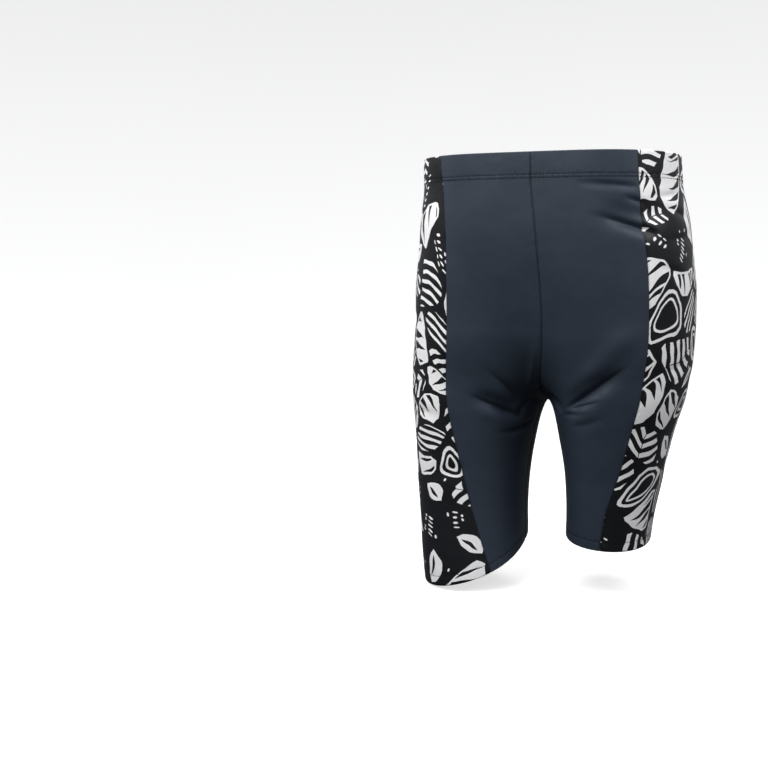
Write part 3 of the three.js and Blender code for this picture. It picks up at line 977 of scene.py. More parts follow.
UV_UNIT = 10.0


def rim_edges(faces):
    """The directed edges that only one face uses."""
    edges = np.concatenate([faces, np.roll(faces, -1, axis=1)]).reshape(2, -1)
    pairs = np.stack([edges[0], edges[1]], axis=1)
    pairs = pairs[pairs[:, 0] != pairs[:, 1]]
    known = {(a, b) for a, b in pairs.tolist()}
    return np.array([(a, b) for a, b in known if (b, a) not in known])


def grid_faces(height, width):
    j, i = np.meshgrid(np.arange(height - 1), np.arange(width - 1), indexing="ij")
    corner = (j * width + i).ravel()
    return np.stack([corner, corner + width, corner + width + 1, corner + 1], axis=1)


def turned_out(points, faces, normals):
    """The faces, all turned so that they face along the normals."""
    a, b, c = (points[faces[:, k]] for k in range(3))
    ahead = np.sum(np.cross(b - a, c - a) * normals[faces[:, 0]])
    return faces if ahead > 0 else faces[:, ::-1]


def new_piece(name, points, faces, materials, slots=None, flat=None, extra=None, normals=None):
    """A mesh object in metres from points in millimetres."""
    mesh = bpy.data.meshes.new(name)
    mesh.from_pydata((points * MM).tolist(), [], [list(map(int, face)) for face in faces])
    mesh.polygons.foreach_set("use_smooth", np.ones(len(mesh.polygons), bool))
    for material in materials:
        mesh.materials.append(material)
    if slots is not None:
        mesh.polygons.foreach_set("material_index", np.asarray(slots, np.int32))
    if flat is not None:
        corners = np.empty(len(mesh.loops), np.int32)
        mesh.loops.foreach_get("vertex_index", corners)
        layer = mesh.uv_layers.new(name="flat")
        layer.data.foreach_set("uv", (flat[corners] / UV_UNIT).astype(np.float32).ravel())
    for key, values in (extra or {}).items():
        attribute = mesh.attributes.new(key, "FLOAT", "POINT")
        attribute.data.foreach_set("value", values.astype(np.float32))
    mesh.validate()
    mesh.update()
    if normals is not None:
        mesh.normals_split_custom_set_from_vertices(normals.tolist())
    piece = bpy.data.objects.new(name, mesh)
    bpy.context.scene.collection.objects.link(piece)
    return piece


class Cloth:
    """Parts of one piece of cloth, each with an outer and an inner face and closed rims."""

    def __init__(self):
        self.points = []
        self.normals = []
        self.flats = []
        self.faces = []
        self.slots = []
        self.extra = {"to_seam": [], "sewn": []}
        self.count = 0

    def add(self, points, normals, wall, flat, faces, slots, inside, extra):
        faces = turned_out(points, faces, normals)
        inner = points - normals * wall[:, None]
        number = len(points)
        rim = rim_edges(faces)
        rim_slots = np.full(len(rim), inside)
        sides = np.stack([rim[:, 1], rim[:, 0], rim[:, 0] + number, rim[:, 1] + number], axis=1)
        back = faces[:, ::-1] + number
        self.points += [points, inner]
        self.normals += [normals, -normals]
        self.flats += [flat, flat]
        self.faces += [(part + self.count).tolist() for part in (faces, back, sides)]
        self.slots += [slots, np.full(len(back), inside), rim_slots]
        for key, values in extra.items():
            self.extra[key] += [values, np.full(number, FROM_STITCHES)]
        self.count += 2 * number

    def piece(self, name, materials):
        faces = [face for part in self.faces for face in part]
        extra = {key: np.concatenate(values) for key, values in self.extra.items()}
        return new_piece(
            name,
            np.concatenate(self.points),
            faces,
            materials,
            np.concatenate(self.slots),
            np.concatenate(self.flats),
            extra,
            np.concatenate(self.normals),
        )


def add_plain(cloth, surface, slot, inside):
    """Adds a surface in one cloth."""
    height, width = surface.grid.shape[:2]
    faces = grid_faces(height, width)
    extra = {
        "to_seam": surface.to_seam.ravel(),
        "sewn": surface.sewn.ravel(),
    }
    cloth.add(
        surface.grid.reshape(-1, 3),
        surface.normal.reshape(-1, 3),
        surface.wall.ravel(),
        surface.flat().reshape(-1, 2),
        faces,
        np.full(len(faces), slot),
        inside,
        extra,
    )


# The flat mesh of a printed piece: how far its inner places keep from the outlines and the edges
JOINED_WITHIN = 1e-4
INNER_CLEAR = 0.7
CLOSE_ROWS = 1.5
ROW_FROM = 0.03
SIDE_MARGIN = (5.0, 4.0)
TALL_MARGIN = (3.0, 2.0)
SEARCH_PARTS = 12


def triangulated(outline, shapes, inner):
    """Places and triangles of a flat area, cut along its own outline and along the shapes'."""
    points = np.concatenate([outline, *shapes, inner])
    edges = []
    start = 0
    for shape in [outline, *shapes]:
        ring = list(range(start, start + len(shape)))
        edges += list(zip(ring, ring[1:] + ring[:1]))
        start += len(shape)
    flat_points = [Vector(point) for point in points.tolist()]
    verts, _, triangles, *_ = delaunay_2d_cdt(flat_points, edges, [], 0, JOINED_WITHIN, True)
    return np.array([tuple(vert) for vert in verts]), np.array(triangles)


def add_printed(cloth, surface, motifs, raised, ink, white, inside):
    """Adds a surface with a print: its cloth is cut along the motifs, which are ink and white by turns."""
    flat = surface.flat()
    outline = flat_outline(flat)
    shapes = [motif - (0, raised) for motif in motifs]
    low = outline.min(0) - 1
    high = outline.max(0) + 1
    shapes = [s for s in shapes if np.all(s.max(0) > low) and np.all(s.min(0) < high)]
    found, corners = triangulated(outline, shapes, inner_points(surface, flat, shapes))
    middles = found[corners].mean(axis=1)
    kept = times_inside(middles, [outline]) == 1
    corners = corners[kept]
    slots = np.where(times_inside(middles[kept], shapes) % 2 == 1, white, ink)
    used, corners = np.unique(corners, return_inverse=True)
    found = found[used]
    corners = corners.reshape(-1, 3)
    extra = {
        "to_seam": surface.sample(found, surface.to_seam[..., None])[:, 0],
        "sewn": surface.sample(found, surface.sewn[..., None])[:, 0],
    }
    cloth.add(
        surface.sample(found, surface.grid),
        unit(surface.sample(found, surface.normal)),
        surface.sample(found, surface.wall[..., None])[:, 0],
        found + (0, raised),
        corners,
        slots,
        inside,
        extra,
    )


def times_inside(places, shapes):
    """How many of the closed outlines each flat place lies inside."""
    count = np.zeros(len(places), int)
    for shape in shapes:
        near = np.flatnonzero(close_to(places, shape, 0))
        if not len(near):
            continue
        after = np.roll(shape, -1, axis=0)
        rise = after[:, 1] - shape[:, 1]
        up = places[near, 1, None] - shape[:, 1]
        crossed = (up < 0) != (up < rise)
        meets = shape[:, 0] + up * (after[:, 0] - shape[:, 0]) / np.where(rise == 0, 1, rise)
        count[near] += (crossed & (meets > places[near, 0, None])).sum(axis=1) % 2
    return count


def flat_outline(flat):
    """The outline of a flattened piece, without its last place, which is its first."""
    ring = np.concatenate([flat[:, 0], flat[-1, 1:], flat[-2::-1, -1], flat[0, -2:0:-1]])
    count = int(run_lengths(ring)[-1] / OUTLINE_STEP)
    even = at_shares(np.concatenate([ring, ring[:1]]), np.linspace(0, 1, count + 1))[:-1]
    corners = np.array([flat[0, 0], flat[-1, 0], flat[-1, -1], flat[0, -1]])
    for corner in corners:
        even[np.linalg.norm(even - corner, axis=1).argmin()] = corner
    return even


def inner_points(surface, flat, shapes):
    """Places inside a flattened piece: rows beside its edges, and an even spread elsewhere."""
    rows = flat.shape[0]
    found = []
    for inset in EDGE_STEPS[1:]:
        share = inset / surface.width
        for side in (share, 1 - share):
            across = (side - 0.5) * surface.width
            line = np.stack([across, surface.height], axis=1)
            count = int(run_lengths(line)[-1] / PRINT_STEP)
            found.append(at_shares(line, np.linspace(0, 1, count + 1))[1:-1])
    steps = np.diff(-surface.height)
    for k in range(1, rows - 1):
        if min(steps[k - 1], steps[k]) >= CLOSE_ROWS:
            continue
        count = int(surface.width[k] / PRINT_STEP)
        across = (np.linspace(ROW_FROM, 1 - ROW_FROM, count) - 0.5) * surface.width[k]
        found.append(np.stack([across, np.full(count, surface.height[k])], axis=1))
    tall = np.arange(surface.height[-1] + TALL_MARGIN[0], surface.height[0] - TALL_MARGIN[1], PRINT_STEP)
    for k, height in enumerate(tall):
        width = float(np.interp(-height, -surface.height, surface.width))
        first = SIDE_MARGIN[0] - width / 2 + (k % 2) * PRINT_STEP / 2
        across = np.arange(first, width / 2 - SIDE_MARGIN[1], PRINT_STEP)
        found.append(np.stack([across, np.full(len(across), height)], axis=1))
    points = np.concatenate(found)
    if not shapes:
        return points
    lines = np.concatenate(shapes)
    clear = np.ones(len(points), bool)
    for part in np.array_split(np.arange(len(points)), SEARCH_PARTS):
        gap = np.linalg.norm(points[part][:, None] - lines[None], axis=2).min(axis=1)
        clear[part] = gap > INNER_CLEAR
    return points[clear]


# The print: plain shards, stripes, chevrons, pebbles, leaves and dots, one in each cell of an uneven net

PRINT_SEED = {"left": 11, "right": 27}
PRINT_HALF = 124.0
PRINT_TOP = 36.0
PRINT_BOTTOM = -452.0
CELL_WIDE = 35.0
CELL_TALL = 32.0
CELL_STRAY = 0.36
CELLS_JOINED = 0.2
CELL_REACH = 70.0
CELL_SEARCH = 95.0
INK_GAP = 2.5
DRAWN_STEP = 2.6
KINDS = ("shard", "stripes", "chevrons", "pebble", "leaf", "dots")
KIND_SHARES = (0.27, 0.17, 0.16, 0.12, 0.13, 0.15)
LARGE_SWAY = 5.6
SMALL_SWAY = 0.45
LEAST_AREA = 5.0
LEAST_SHARD = 90.0
LEAST_STRIP = 40.0
LEAST_RING = 14.0
SHARD_RIM = 2.2
DOT_LINES = (-7.5, 0, 7.5)
DOTS_REACH = 24
DOT_STEP = 5.4
DOT_SHIFT = 2.2


def turned(angle):
    return np.array([math.cos(angle), math.sin(angle)])


def area_of(polygon):
    x, y = polygon[:, 0], polygon[:, 1]
    return 0.5 * abs(np.dot(x, np.roll(y, -1)) - np.dot(y, np.roll(x, -1)))


def clipped(polygon, place, normal):
    """The part of a convex polygon behind a line."""
    kept = []
    if len(polygon) < 3:
        return polygon[:0]
    ahead = (polygon - place) @ normal
    for i in range(len(polygon)):
        j = (i + 1) % len(polygon)
        if ahead[i] <= 0:
            kept.append(polygon[i])
        if ahead[i] * ahead[j] < 0:
            kept.append(mix(polygon[i], polygon[j], ahead[i] / (ahead[i] - ahead[j])))
    return np.array(kept).reshape(-1, 2)


def shrunk(polygon, amount):
    """A convex polygon with every side moved inwards."""
    result = polygon
    centre = polygon.mean(axis=0)
    for i in range(len(polygon)):
        way = unit(polygon[(i + 1) % len(polygon)] - polygon[i])
        normal = np.array([way[1], -way[0]])
        if (centre - polygon[i]) @ normal > 0:
            normal = -normal
        result = clipped(result, polygon[i] - normal * amount, normal)
        if len(result) < 3:
            return result[:0]
    return result


def band_of(polygon, place, normal, wide):
    """The part of a convex polygon between two lines."""
    return clipped(clipped(polygon, place + normal * wide, normal), place, -normal)


def rounded(polygon, times):
    for _ in range(times):
        after = np.roll(polygon, -1, axis=0)
        polygon = np.stack([mix(polygon, after, 0.25), mix(polygon, after, 0.75)], axis=1).reshape(-1, 2)
    return polygon


def net_cells(chance):
    """Uneven cells that fill the whole print: each holds what lies nearest to its own seed."""
    seeds = []
    columns = np.arange(-PRINT_HALF, PRINT_HALF, CELL_WIDE)
    for row, height in enumerate(np.arange(PRINT_BOTTOM, PRINT_TOP, CELL_TALL)):
        for across in columns + (row % 2) * CELL_WIDE / 2:
            stray = chance.uniform(-CELL_STRAY, CELL_STRAY, 2) * (CELL_WIDE, CELL_TALL)
            if chance.random() > CELLS_JOINED:
                seeds.append((across, height) + stray)
    seeds = np.array(seeds)
    box = np.array([(-1, -1), (1, -1), (1, 1), (-1, 1)]) * CELL_REACH
    for seed in seeds:
        polygon = seed + box
        away = np.linalg.norm(seeds - seed, axis=1)
        for other in seeds[(away > 0) & (away < CELL_SEARCH)]:
            polygon = clipped(polygon, (seed + other) / 2, unit(other - seed))
        yield polygon


def stripes_in(polygon, angle, pitch, share, slip):
    normal = turned(angle)
    heights = polygon @ normal
    place = heights.min() - slip
    found = []
    while place < heights.max():
        found.append(band_of(polygon, normal * place, normal, pitch * share))
        place += pitch
    return found


def blade_in(polygon, angle, wide, chance):
    """A tapering blade across a polygon."""
    centre = polygon.mean(axis=0) + chance.uniform(-3, 3, 2)
    lean = chance.uniform(0.10, 0.2)
    one = turned(angle + math.pi / 2 + lean)
    other = turned(angle - math.pi / 2 - lean)
    return clipped(clipped(polygon, centre + one * wide, one), centre + other * wide, other)


def ellipse(place, long, short, angle, count=12):
    turn = np.linspace(0, 2 * np.pi, count, endpoint=False)
    along = turned(angle)
    aside = turned(angle + math.pi / 2)
    return place + np.outer(long * np.cos(turn), along) + np.outer(short * np.sin(turn), aside)


def leaf_shape(place, long, wide, angle):
    t = np.linspace(-1, 1, 9)
    along = turned(angle)
    aside = turned(angle + math.pi / 2)
    one = np.outer(t * long, along) + np.outer(wide * (1 - t * t), aside)
    other = np.outer(-t[1:-1] * long, along) + np.outer(-0.55 * wide * (1 - t[1:-1] ** 2), aside)
    return place + np.concatenate([one, other])


def soft_cell(cell):
    """A cell's own shape inside the ink, with its corners taken off."""
    base = shrunk(cell, INK_GAP)
    return rounded(base, 1) if len(base) else base


def shard(cell, angle, chance):
    """A white cell with one to three dark blades in it."""
    base = soft_cell(cell)
    deep = shrunk(base, SHARD_RIM) if len(base) else base
    if len(deep) < 3 or area_of(deep) < LEAST_SHARD:
        return [base] if len(base) else []
    found = [base]
    for part in stripes_in(deep, angle + math.pi / 2, chance.uniform(9, 13), 0.8, chance.uniform(0, 3)):
        if len(part) > 2 and area_of(part) > LEAST_STRIP:
            found.append(blade_in(part, angle, chance.uniform(0.9, 2.2), chance))
    return found


def stripes(cell, angle, chance):
    base = soft_cell(cell)
    if not len(base):
        return []
    pitch = chance.uniform(6.0, 9.5)
    share = chance.uniform(0.34, 0.5)
    return stripes_in(base, angle, pitch, share, chance.uniform(0, 4))


def chevrons(cell, angle, chance):
    base = soft_cell(cell)
    if not len(base):
        return []
    centre = base.mean(axis=0)
    normal = turned(angle)
    pitch = chance.uniform(8, 11)
    share = chance.uniform(0.38, 0.5)
    lean = chance.uniform(0.45, 0.75)
    found = []
    for sign in (1, -1):
        half = clipped(base, centre - sign * normal * 0.45, sign * normal)
        if len(half) < 3:
            continue
        aside = angle + math.pi / 2 + sign * lean
        start = (half @ turned(aside)).min() - centre @ turned(aside)
        found += stripes_in(half, aside, pitch, share, start % pitch)
    return found


def pebble(cell, angle, chance):
    found = []
    inset = INK_GAP
    for step in (chance.uniform(2.8, 4.4), chance.uniform(2.8, 3.8), 2.4, 2.8):
        ring = shrunk(cell, inset)
        if len(ring) < 3 or area_of(ring) < LEAST_RING:
            break
        found.append(rounded(ring, 2))
        inset += step
    return found


def leaf(cell, angle, chance):
    base = shrunk(cell, INK_GAP + 1)
    if not len(base):
        return []
    centre = base.mean(axis=0)
    reach = math.sqrt(area_of(base) / math.pi)
    outer = leaf_shape(centre, 0.98 * reach, 0.62 * reach, angle)
    vein = leaf_shape(centre + 0.03 * reach, 0.62 * reach, 0.12 * reach, angle + 0.06)
    aside = centre + turned(angle + math.pi / 2) * reach * 0.98
    return [outer, vein, ellipse(aside, 1.7, 1.3, angle)]


def dots(cell, angle, chance):
    base = shrunk(cell, INK_GAP + 1.6)
    if not len(base):
        return []
    along = turned(angle)
    aside = turned(angle + math.pi / 2)
    centre = base.mean(axis=0)
    found = []
    for line, across in enumerate(DOT_LINES):
        for step in np.arange(-DOTS_REACH, DOTS_REACH, DOT_STEP):
            place = centre + along * (step + DOT_SHIFT * (line % 2)) + aside * across
            long = chance.uniform(1.0, 2.1) if line != 1 else chance.uniform(2.4, 3.4)
            short = chance.uniform(0.9, 1.4)
            shape = ellipse(place, long, short, angle + math.pi / 2 * (line == 1))
            if inside_convex(base, shape):
                found.append(shape)
    return found


def inside_convex(polygon, places):
    ways = np.roll(polygon, -1, axis=0) - polygon
    steps = places[:, None] - polygon[None]
    turns = ways[None, :, 0] * steps[..., 1] - ways[None, :, 1] * steps[..., 0]
    return bool(np.all(turns > 0) or np.all(turns < 0))


MAKERS = {
    "shard": shard,
    "stripes": stripes,
    "chevrons": chevrons,
    "pebble": pebble,
    "leaf": leaf,
    "dots": dots,
}


def swayed(points, phase):
    """The drawing's own unevenness: everything sways a little, as a brush does."""
    u, h = points[:, 0], points[:, 1]
    large = [np.sin(h / 16 + phase + 0.7 * np.sin(u / 23)), np.sin(u / 14 + 1.7 * phase)]
    small = [np.sin(h / 2.7 + u / 4), np.sin(u / 2.9 - h / 5)]
    return points + (LARGE_SWAY * np.stack(large, axis=1) + SMALL_SWAY * np.stack(small, axis=1))


def drawn(polygon, phase):
    after = np.roll(polygon, -1, axis=0)
    parts = []
    for a, b in zip(polygon, after):
        count = max(int(math.ceil(np.linalg.norm(b - a) / DRAWN_STEP)), 1)
        parts.append(a + (b - a) * np.linspace(0, 1, count, endpoint=False)[:, None])
    return swayed(np.concatenate(parts), phase)


def print_motifs(side):
    """Closed outlines on the flattened cloth: ink outside them all, and white and ink by turns inside."""
    chance = np.random.default_rng(PRINT_SEED[side])
    phase = chance.uniform(0, 6)
    found = []
    for cell in net_cells(chance):
        kind = KINDS[chance.choice(len(KINDS), p=KIND_SHARES)]
        angle = chance.uniform(0, math.pi)
        for polygon in MAKERS[kind](cell, angle, chance):
            if len(polygon) > 2 and area_of(polygon) > LEAST_AREA:
                found.append(drawn(polygon, phase))
    return found


# Stitches

STITCH_SIDES = 6
STITCH_RINGS = (
    (-1.0, 0.2, -0.5),
    (-0.72, 0.85, 0.0),
    (0.0, 1.0, 0.35),
    (0.72, 0.85, 0.0),
    (1.0, 0.2, -0.5),
)
STITCH_LOOK = 0.3
THREAD_FLAT = 0.8


def along_run(points, normals, pitch):
    """Places, directions and normals one stitch apart along a sewn line."""
    lengths = run_lengths(points)
    count = int(lengths[-1] / pitch)
    at = (np.arange(count) + 0.5) * lengths[-1] / count
    facing = unit(along_line(at, lengths, normals))
    ahead = along_line(at + STITCH_LOOK, lengths, points)
    behind = along_line(at - STITCH_LOOK, lengths, points)
    return along_line(at, lengths, points), unit(ahead - behind), facing


def stitch_points(place, ahead, up, half, radius):
    """The rings of places round one stitch."""
    turn = np.linspace(0, 2 * np.pi, STITCH_SIDES, endpoint=False)
    aside = np.cross(ahead, up)
    rings = []
    for along, wide, raised in STITCH_RINGS:
        centre = place + ahead * along * half + up * raised * radius
        ring = np.outer(np.cos(turn), aside) + np.outer(THREAD_FLAT * np.sin(turn), up)
        rings.append(centre + ring * wide * radius)
    return np.concatenate(rings)


def stitch_faces():
    """The faces between the rings of one stitch, and its two ends."""
    faces = []
    for ring in range(len(STITCH_RINGS) - 1):
        for k in range(STITCH_SIDES):
            a = ring * STITCH_SIDES + k
            b = ring * STITCH_SIDES + (k + 1) % STITCH_SIDES
            faces.append((a, b, b + STITCH_SIDES, a + STITCH_SIDES))
    last = (len(STITCH_RINGS) - 1) * STITCH_SIDES
    faces.append(tuple(range(STITCH_SIDES - 1, -1, -1)))
    faces.append(tuple(range(last, last + STITCH_SIDES)))
    return faces


def sewn(name, runs, sizes, material):
    """One piece of small raised stitches along several sewn lines."""
    pitch = sizes.stitch_pitch / MM
    half = sizes.stitch_length / MM / 2
    radius = sizes.thread_width / MM / 2
    shape = stitch_faces()
    points = []
    faces = []
    for line, normals in runs:
        for place, ahead, up in zip(*along_run(line, normals, pitch)):
            first = len(points) * len(STITCH_RINGS) * STITCH_SIDES
            points.append(stitch_points(place, ahead, up, half, radius))
            faces += [tuple(first + k for k in face) for face in shape]
    return new_piece(name, np.concatenate(points), faces, [material])


def surface_line(surface, row):
    """A line across a surface on one row, with its normals."""
    at = np.interp(row, surface.rows, np.arange(len(surface.rows)))
    low = min(int(at), len(surface.rows) - 2)
    line = mix(surface.grid[low], surface.grid[low + 1], at - low)
    normals = unit(mix(surface.normal[low], surface.normal[low + 1], at - low))
    return line, normals


# The seat pad

PAD_ROWS = 84
PAD_COLUMNS = 64
PAD_CHANNELS = (0.0, 0.52)
CHANNEL_WIDTH = 2.3
CHANNEL_DEPTH = 3.6
CHANNEL_FROM_EDGE = 6.0
CHANNEL_GROWS = 10.0
PAD_CROWDING = 1.35
PAD_ROUNDING = 0.9


def pad_grid(sizes):
    """The pad's two faces: the one against the cloth, and the padded one with its sewn channels."""
    share = np.linspace(0, 1, PAD_ROWS + 1)
    even = np.linspace(-1, 1, PAD_COLUMNS + 1)
    across = np.sign(even) * (1 - (1 - np.abs(even)) ** PAD_CROWDING)
    rows, columns = np.meshgrid(share, across, indexing="ij")
    half = pad_half_width(rows)
    flat = np.stack([rows.ravel() * PAD_LENGTH, (columns * half).ravel()], axis=1)
    places = pad_place(flat[:, 0], flat[:, 1])
    normal = outwards(places)
    to_end = np.minimum(rows, 1 - rows).ravel() * PAD_LENGTH
    to_edge = np.minimum((1 - np.abs(columns)) * half, to_end.reshape(rows.shape)).ravel()
    thick = mix(PAD_EDGE, PAD_THICK, ease(to_edge / PAD_SLOPE))
    inner = ease((to_edge - CHANNEL_FROM_EDGE) / CHANNEL_GROWS)
    for channel in PAD_CHANNELS:
        away = np.abs(np.abs(columns) - channel).ravel() * half.ravel()
        thick = thick - sizes.channel_depth / MM * inner * bell(away, CHANNEL_WIDTH)
    rounding = PAD_EDGE / 2 * bell(to_edge, PAD_ROUNDING)
    lift = relief(places, sizes.crease_strength) - PAD_CLOTH - PAD_CLEAR
    outer = places + (lift - rounding)[:, None] * normal
    padded = outer - (thick - 2 * rounding)[:, None] * normal
    return outer, padded, flat, normal, to_edge


# Finishes, each a node material

class Finish:
    """A material whose nodes are being joined up."""

    def __init__(self, name, rough, **fixed):
        self.material = bpy.data.materials.new(name)
        self.material.use_nodes = True
        self.tree = self.material.node_tree
        self.tree.nodes.clear()
        self.shader = self.node("ShaderNodeBsdfPrincipled", Roughness=rough, **fixed)
        output = self.node("ShaderNodeOutputMaterial")
        self.tree.links.new(self.shader.outputs[0], output.inputs[0])

    def node(self, kind, settings=None, **sockets):
        node = self.tree.nodes.new(kind)
        for key, value in (settings or {}).items():
            setattr(node, key, value)
        for key, value in sockets.items():
            self.put(node, key.replace("_", " "), value)
        return node

    def put(self, node, key, value):
        socket = node.inputs[int(key[2:])] if key.startswith("at") else node.inputs[key]
        if isinstance(value, bpy.types.NodeSocket):
            self.tree.links.new(value, socket)
        else:
            socket.default_value = value

    def math(self, operation, a, b=0.0, c=0.0):
        return self.node("ShaderNodeMath", {"operation": operation}, at0=a, at1=b, at2=c).outputs[0]

    def between(self, value, low, high, first=0.0, second=1.0):
        node = self.node("ShaderNodeMapRange", {"interpolation_type": "SMOOTHSTEP"}, Value=value)
        for k, number in enumerate((low, high, first, second), start=1):
            node.inputs[k].default_value = number
        return node.outputs[0]

    def window(self, value, rise, fall):
        """One for values inside a range, and nothing outside it."""
        return self.math("MULTIPLY", self.between(value, *rise), self.between(value, *fall, 1.0, 0.0))

    def total(self, start, *terms):
        """A start to which values are added, each times its weight."""
        for value, weight in terms:
            start = self.math("ADD", start, self.math("MULTIPLY", value, weight))
        return start

    def flat(self, across, down):
        """The cloth's own coordinates, in repeats across and down for every 10 mm."""
        uv = self.node("ShaderNodeUVMap", {"uv_map": "flat"}).outputs[0]
        return self.node("ShaderNodeMapping", Vector=uv, Scale=(across, down, 1.0)).outputs[0]

    def noise(self, vector, scale, detail=2.0, rough=0.5):
        sockets = {"Vector": vector, "Scale": scale, "Detail": detail, "Roughness": rough}
        return self.node("ShaderNodeTexNoise", **sockets).outputs[0]

    def wave(self, vector, repeats, direction="X"):
        """Waves side by side. The node makes one wave a unit at a scale of pi / 10."""
        settings = {"wave_type": "BANDS", "bands_direction": direction, "wave_profile": "SIN"}
        scale = repeats * math.pi / 10
        return self.node("ShaderNodeTexWave", settings, Vector=vector, Scale=scale).outputs[0]

    def object_place(self):
        return self.node("ShaderNodeTexCoord").outputs["Object"]

    def along(self, axis):
        return self.node("ShaderNodeSeparateXYZ", Vector=self.object_place()).outputs[axis]

    def attribute(self, name):
        return self.node("ShaderNodeAttribute", {"attribute_name": name}).outputs["Fac"]

    def blend(self, factor, a, b, kind="MIX"):
        settings = {"data_type": "RGBA", "blend_type": kind}
        return self.node("ShaderNodeMix", settings, at0=factor, at6=a, at7=b).outputs[2]

    def finish(self, colour, tone, rough, height, lift):
        """Join up a colour and its tone, the roughness, and the height of the small forms."""
        scaled = self.node("ShaderNodeVectorMath", {"operation": "SCALE"}, at0=tuple(colour), Scale=tone)
        self.put(self.shader, "Base Color", scaled.outputs[0])
        self.put(self.shader, "Roughness", rough)
        bump = self.node("ShaderNodeBump", Height=height, Distance=lift, Strength=1.0)
        self.put(self.shader, "Normal", bump.outputs[0])
        return self.material


def shade(colour, share):
    return tuple(part * share for part in colour)


# Where the back's pale streaks begin and end, in metres, up the shorts and across them; the streaks are
# partly the stretched knit's pale grain and partly painted highlight
STREAKS_UP = ((-0.2, -0.13), (-0.06, -0.02))
STREAKS_ACROSS = ((-0.1, -0.07), (-0.01, 0.0))
SHEEN_TINT = (0.75, 0.82, 1.0, 1.0)
CARD_GLOW = (1.0, 1.0, 1.0, 1.0)
CARD_GLOW_STRENGTH = 0.62
CLOTH_LIFT = 0.0006
THREAD_LIFT = 0.00008
CARD_LIFT = 0.0001


def stretch_and_highlight_streaks(made):
    """Short pale streaks down the cloth, in patches on one part of the back: partly the stretched knit's
    pale grain, partly painted highlight.
    """
    streak = made.between(made.noise(made.flat(7.5, 0.4), 1.0, 3.0, 0.65), 0.56, 0.74)
    patch = made.between(made.noise(made.object_place(), 11.0, 1.0), 0.42, 0.62)
    up = made.window(made.along("Z"), *STREAKS_UP)
    across = made.window(made.along("X"), *STREAKS_ACROSS)
    streak_window = made.math("MULTIPLY", up, across)
    return made.math("MULTIPLY", streak, made.math("MULTIPLY", patch, streak_window))


def stretch_cloth(name, colour, colours, streaks=0.0, seam_line_and_shade=0.5, rough=0.47, mottle=0.1):
    """Satin stretch knit: fine ribs, faint pale grain, puckers beside seams and stitching, a darker seam
    line that is partly painted shade in its groove, painted shade along the stitch dents, and pale streaks
    that are partly painted highlight.
    """
    sheen = {"Sheen_Weight": colours.sheen, "Sheen_Roughness": 0.35, "Specular_IOR_Level": colours.gloss}
    made = Finish(name, rough, **sheen)
    made.shader.inputs["Sheen Tint"].default_value = SHEEN_TINT
    ribs = made.wave(made.flat(1.0, 1.0), 11.0)
    loops = made.wave(made.flat(1.0, 1.0), 8.0, "Y")
    grain = made.noise(made.flat(9.0, 3.0), 1.0, 3.0, 0.6)
    cloudy = made.noise(made.object_place(), 14.0, 3.0, 0.55)
    swell = made.noise(made.object_place(), 38.0, 2.0)
    # darker along the seams: the seam's own dark line, and painted shade in its groove
    seam = made.between(made.attribute("to_seam"), 0.0, 1.5, 1.0, 0.0)
    near_seam = made.between(made.attribute("to_seam"), 0.6, 4.2, 1.0, 0.0)
    # darker along the stitching: painted shade in the dents that the stitches pull in
    stitch_dent_shade = made.between(made.attribute("sewn"), 0.0, 0.9, 1.0, 0.0)
    near_line = made.between(made.attribute("sewn"), 0.6, 5.0, 1.0, 0.0)
    puckers = made.math("SUBTRACT", made.noise(made.flat(3.4, 0.9), 1.0, 1.0), 0.5)
    pucker = made.math("MULTIPLY", puckers, made.math("MAXIMUM", near_seam, near_line))
    tone = made.total(
        made.between(cloudy, 0.3, 0.7, 1.0 - mottle, 1.0 + mottle),
        (made.math("SUBTRACT", grain, 0.5), 0.25),
        # painted shade at the seams and along the stitching
        (seam, -seam_line_and_shade),
        (stitch_dent_shade, -0.4 * seam_line_and_shade),
        # pale streaks, partly the stretched knit's grain and partly painted highlight
        (stretch_and_highlight_streaks(made), streaks),
    )
    height = made.total(0.0, (ribs, 0.03), (loops, 0.012), (grain, 0.06), (pucker, 1.4), (swell, 1.2))
    return made.finish(colour, tone, made.total(rough - 0.06, (grain, 0.12)), height, CLOTH_LIFT)


def thread_finish(name, colour):
    """Twisted sewing thread."""
    made = Finish(name, 0.6, Specular_IOR_Level=0.15)
    place = made.node("ShaderNodeMapping", Vector=made.object_place(), Scale=(900, 900, 900))
    twist = made.wave(place.outputs[0], 1.0)
    tone = made.between(twist, 0.0, 1.0, 0.75, 1.2)
    return made.finish(colour, tone, made.total(0.45, (twist, 0.1)), twist, THREAD_LIFT)


def pad_finish(name, colour):
    """Brushed knit over foam, with small pressed dimples."""
    made = Finish(name, 0.85, Sheen_Weight=0.5, Sheen_Roughness=0.6)
    fluff = made.noise(made.flat(14.0, 14.0), 1.0, 4.0, 0.7)
    cloudy = made.noise(made.object_place(), 60.0, 2.0)
    cells = made.node("ShaderNodeTexVoronoi", Vector=made.flat(2.2, 2.2), Scale=1.0, Randomness=0.0)
    dimple = made.between(cells.outputs[0], 0.0, 0.28, 1.0, 0.0)
    tone = made.total(
        made.between(cloudy, 0.3, 0.7, 0.85, 1.15),
        (made.math("SUBTRACT", fluff, 0.5), 0.5),
        (dimple, -0.45),
    )
    height = made.total(0.0, (fluff, 0.4), (dimple, -0.9))
    return made.finish(colour, tone, made.total(0.78, (fluff, 0.15)), height, CLOTH_LIFT)


def studio_finish(name, colour):
    """Smooth matt studio card."""
    made = Finish(name, 0.9, Specular_IOR_Level=0.1, Emission_Strength=CARD_GLOW_STRENGTH)
    made.shader.inputs["Emission Color"].default_value = CARD_GLOW
    cloudy = made.noise(made.object_place(), 1.2, 2.0)
    tone = made.between(cloudy, 0.2, 0.8, 0.985, 1.015)
    return made.finish(colour, tone, made.total(0.88, (cloudy, 0.04)), cloudy, CARD_LIFT)


# What a user would change

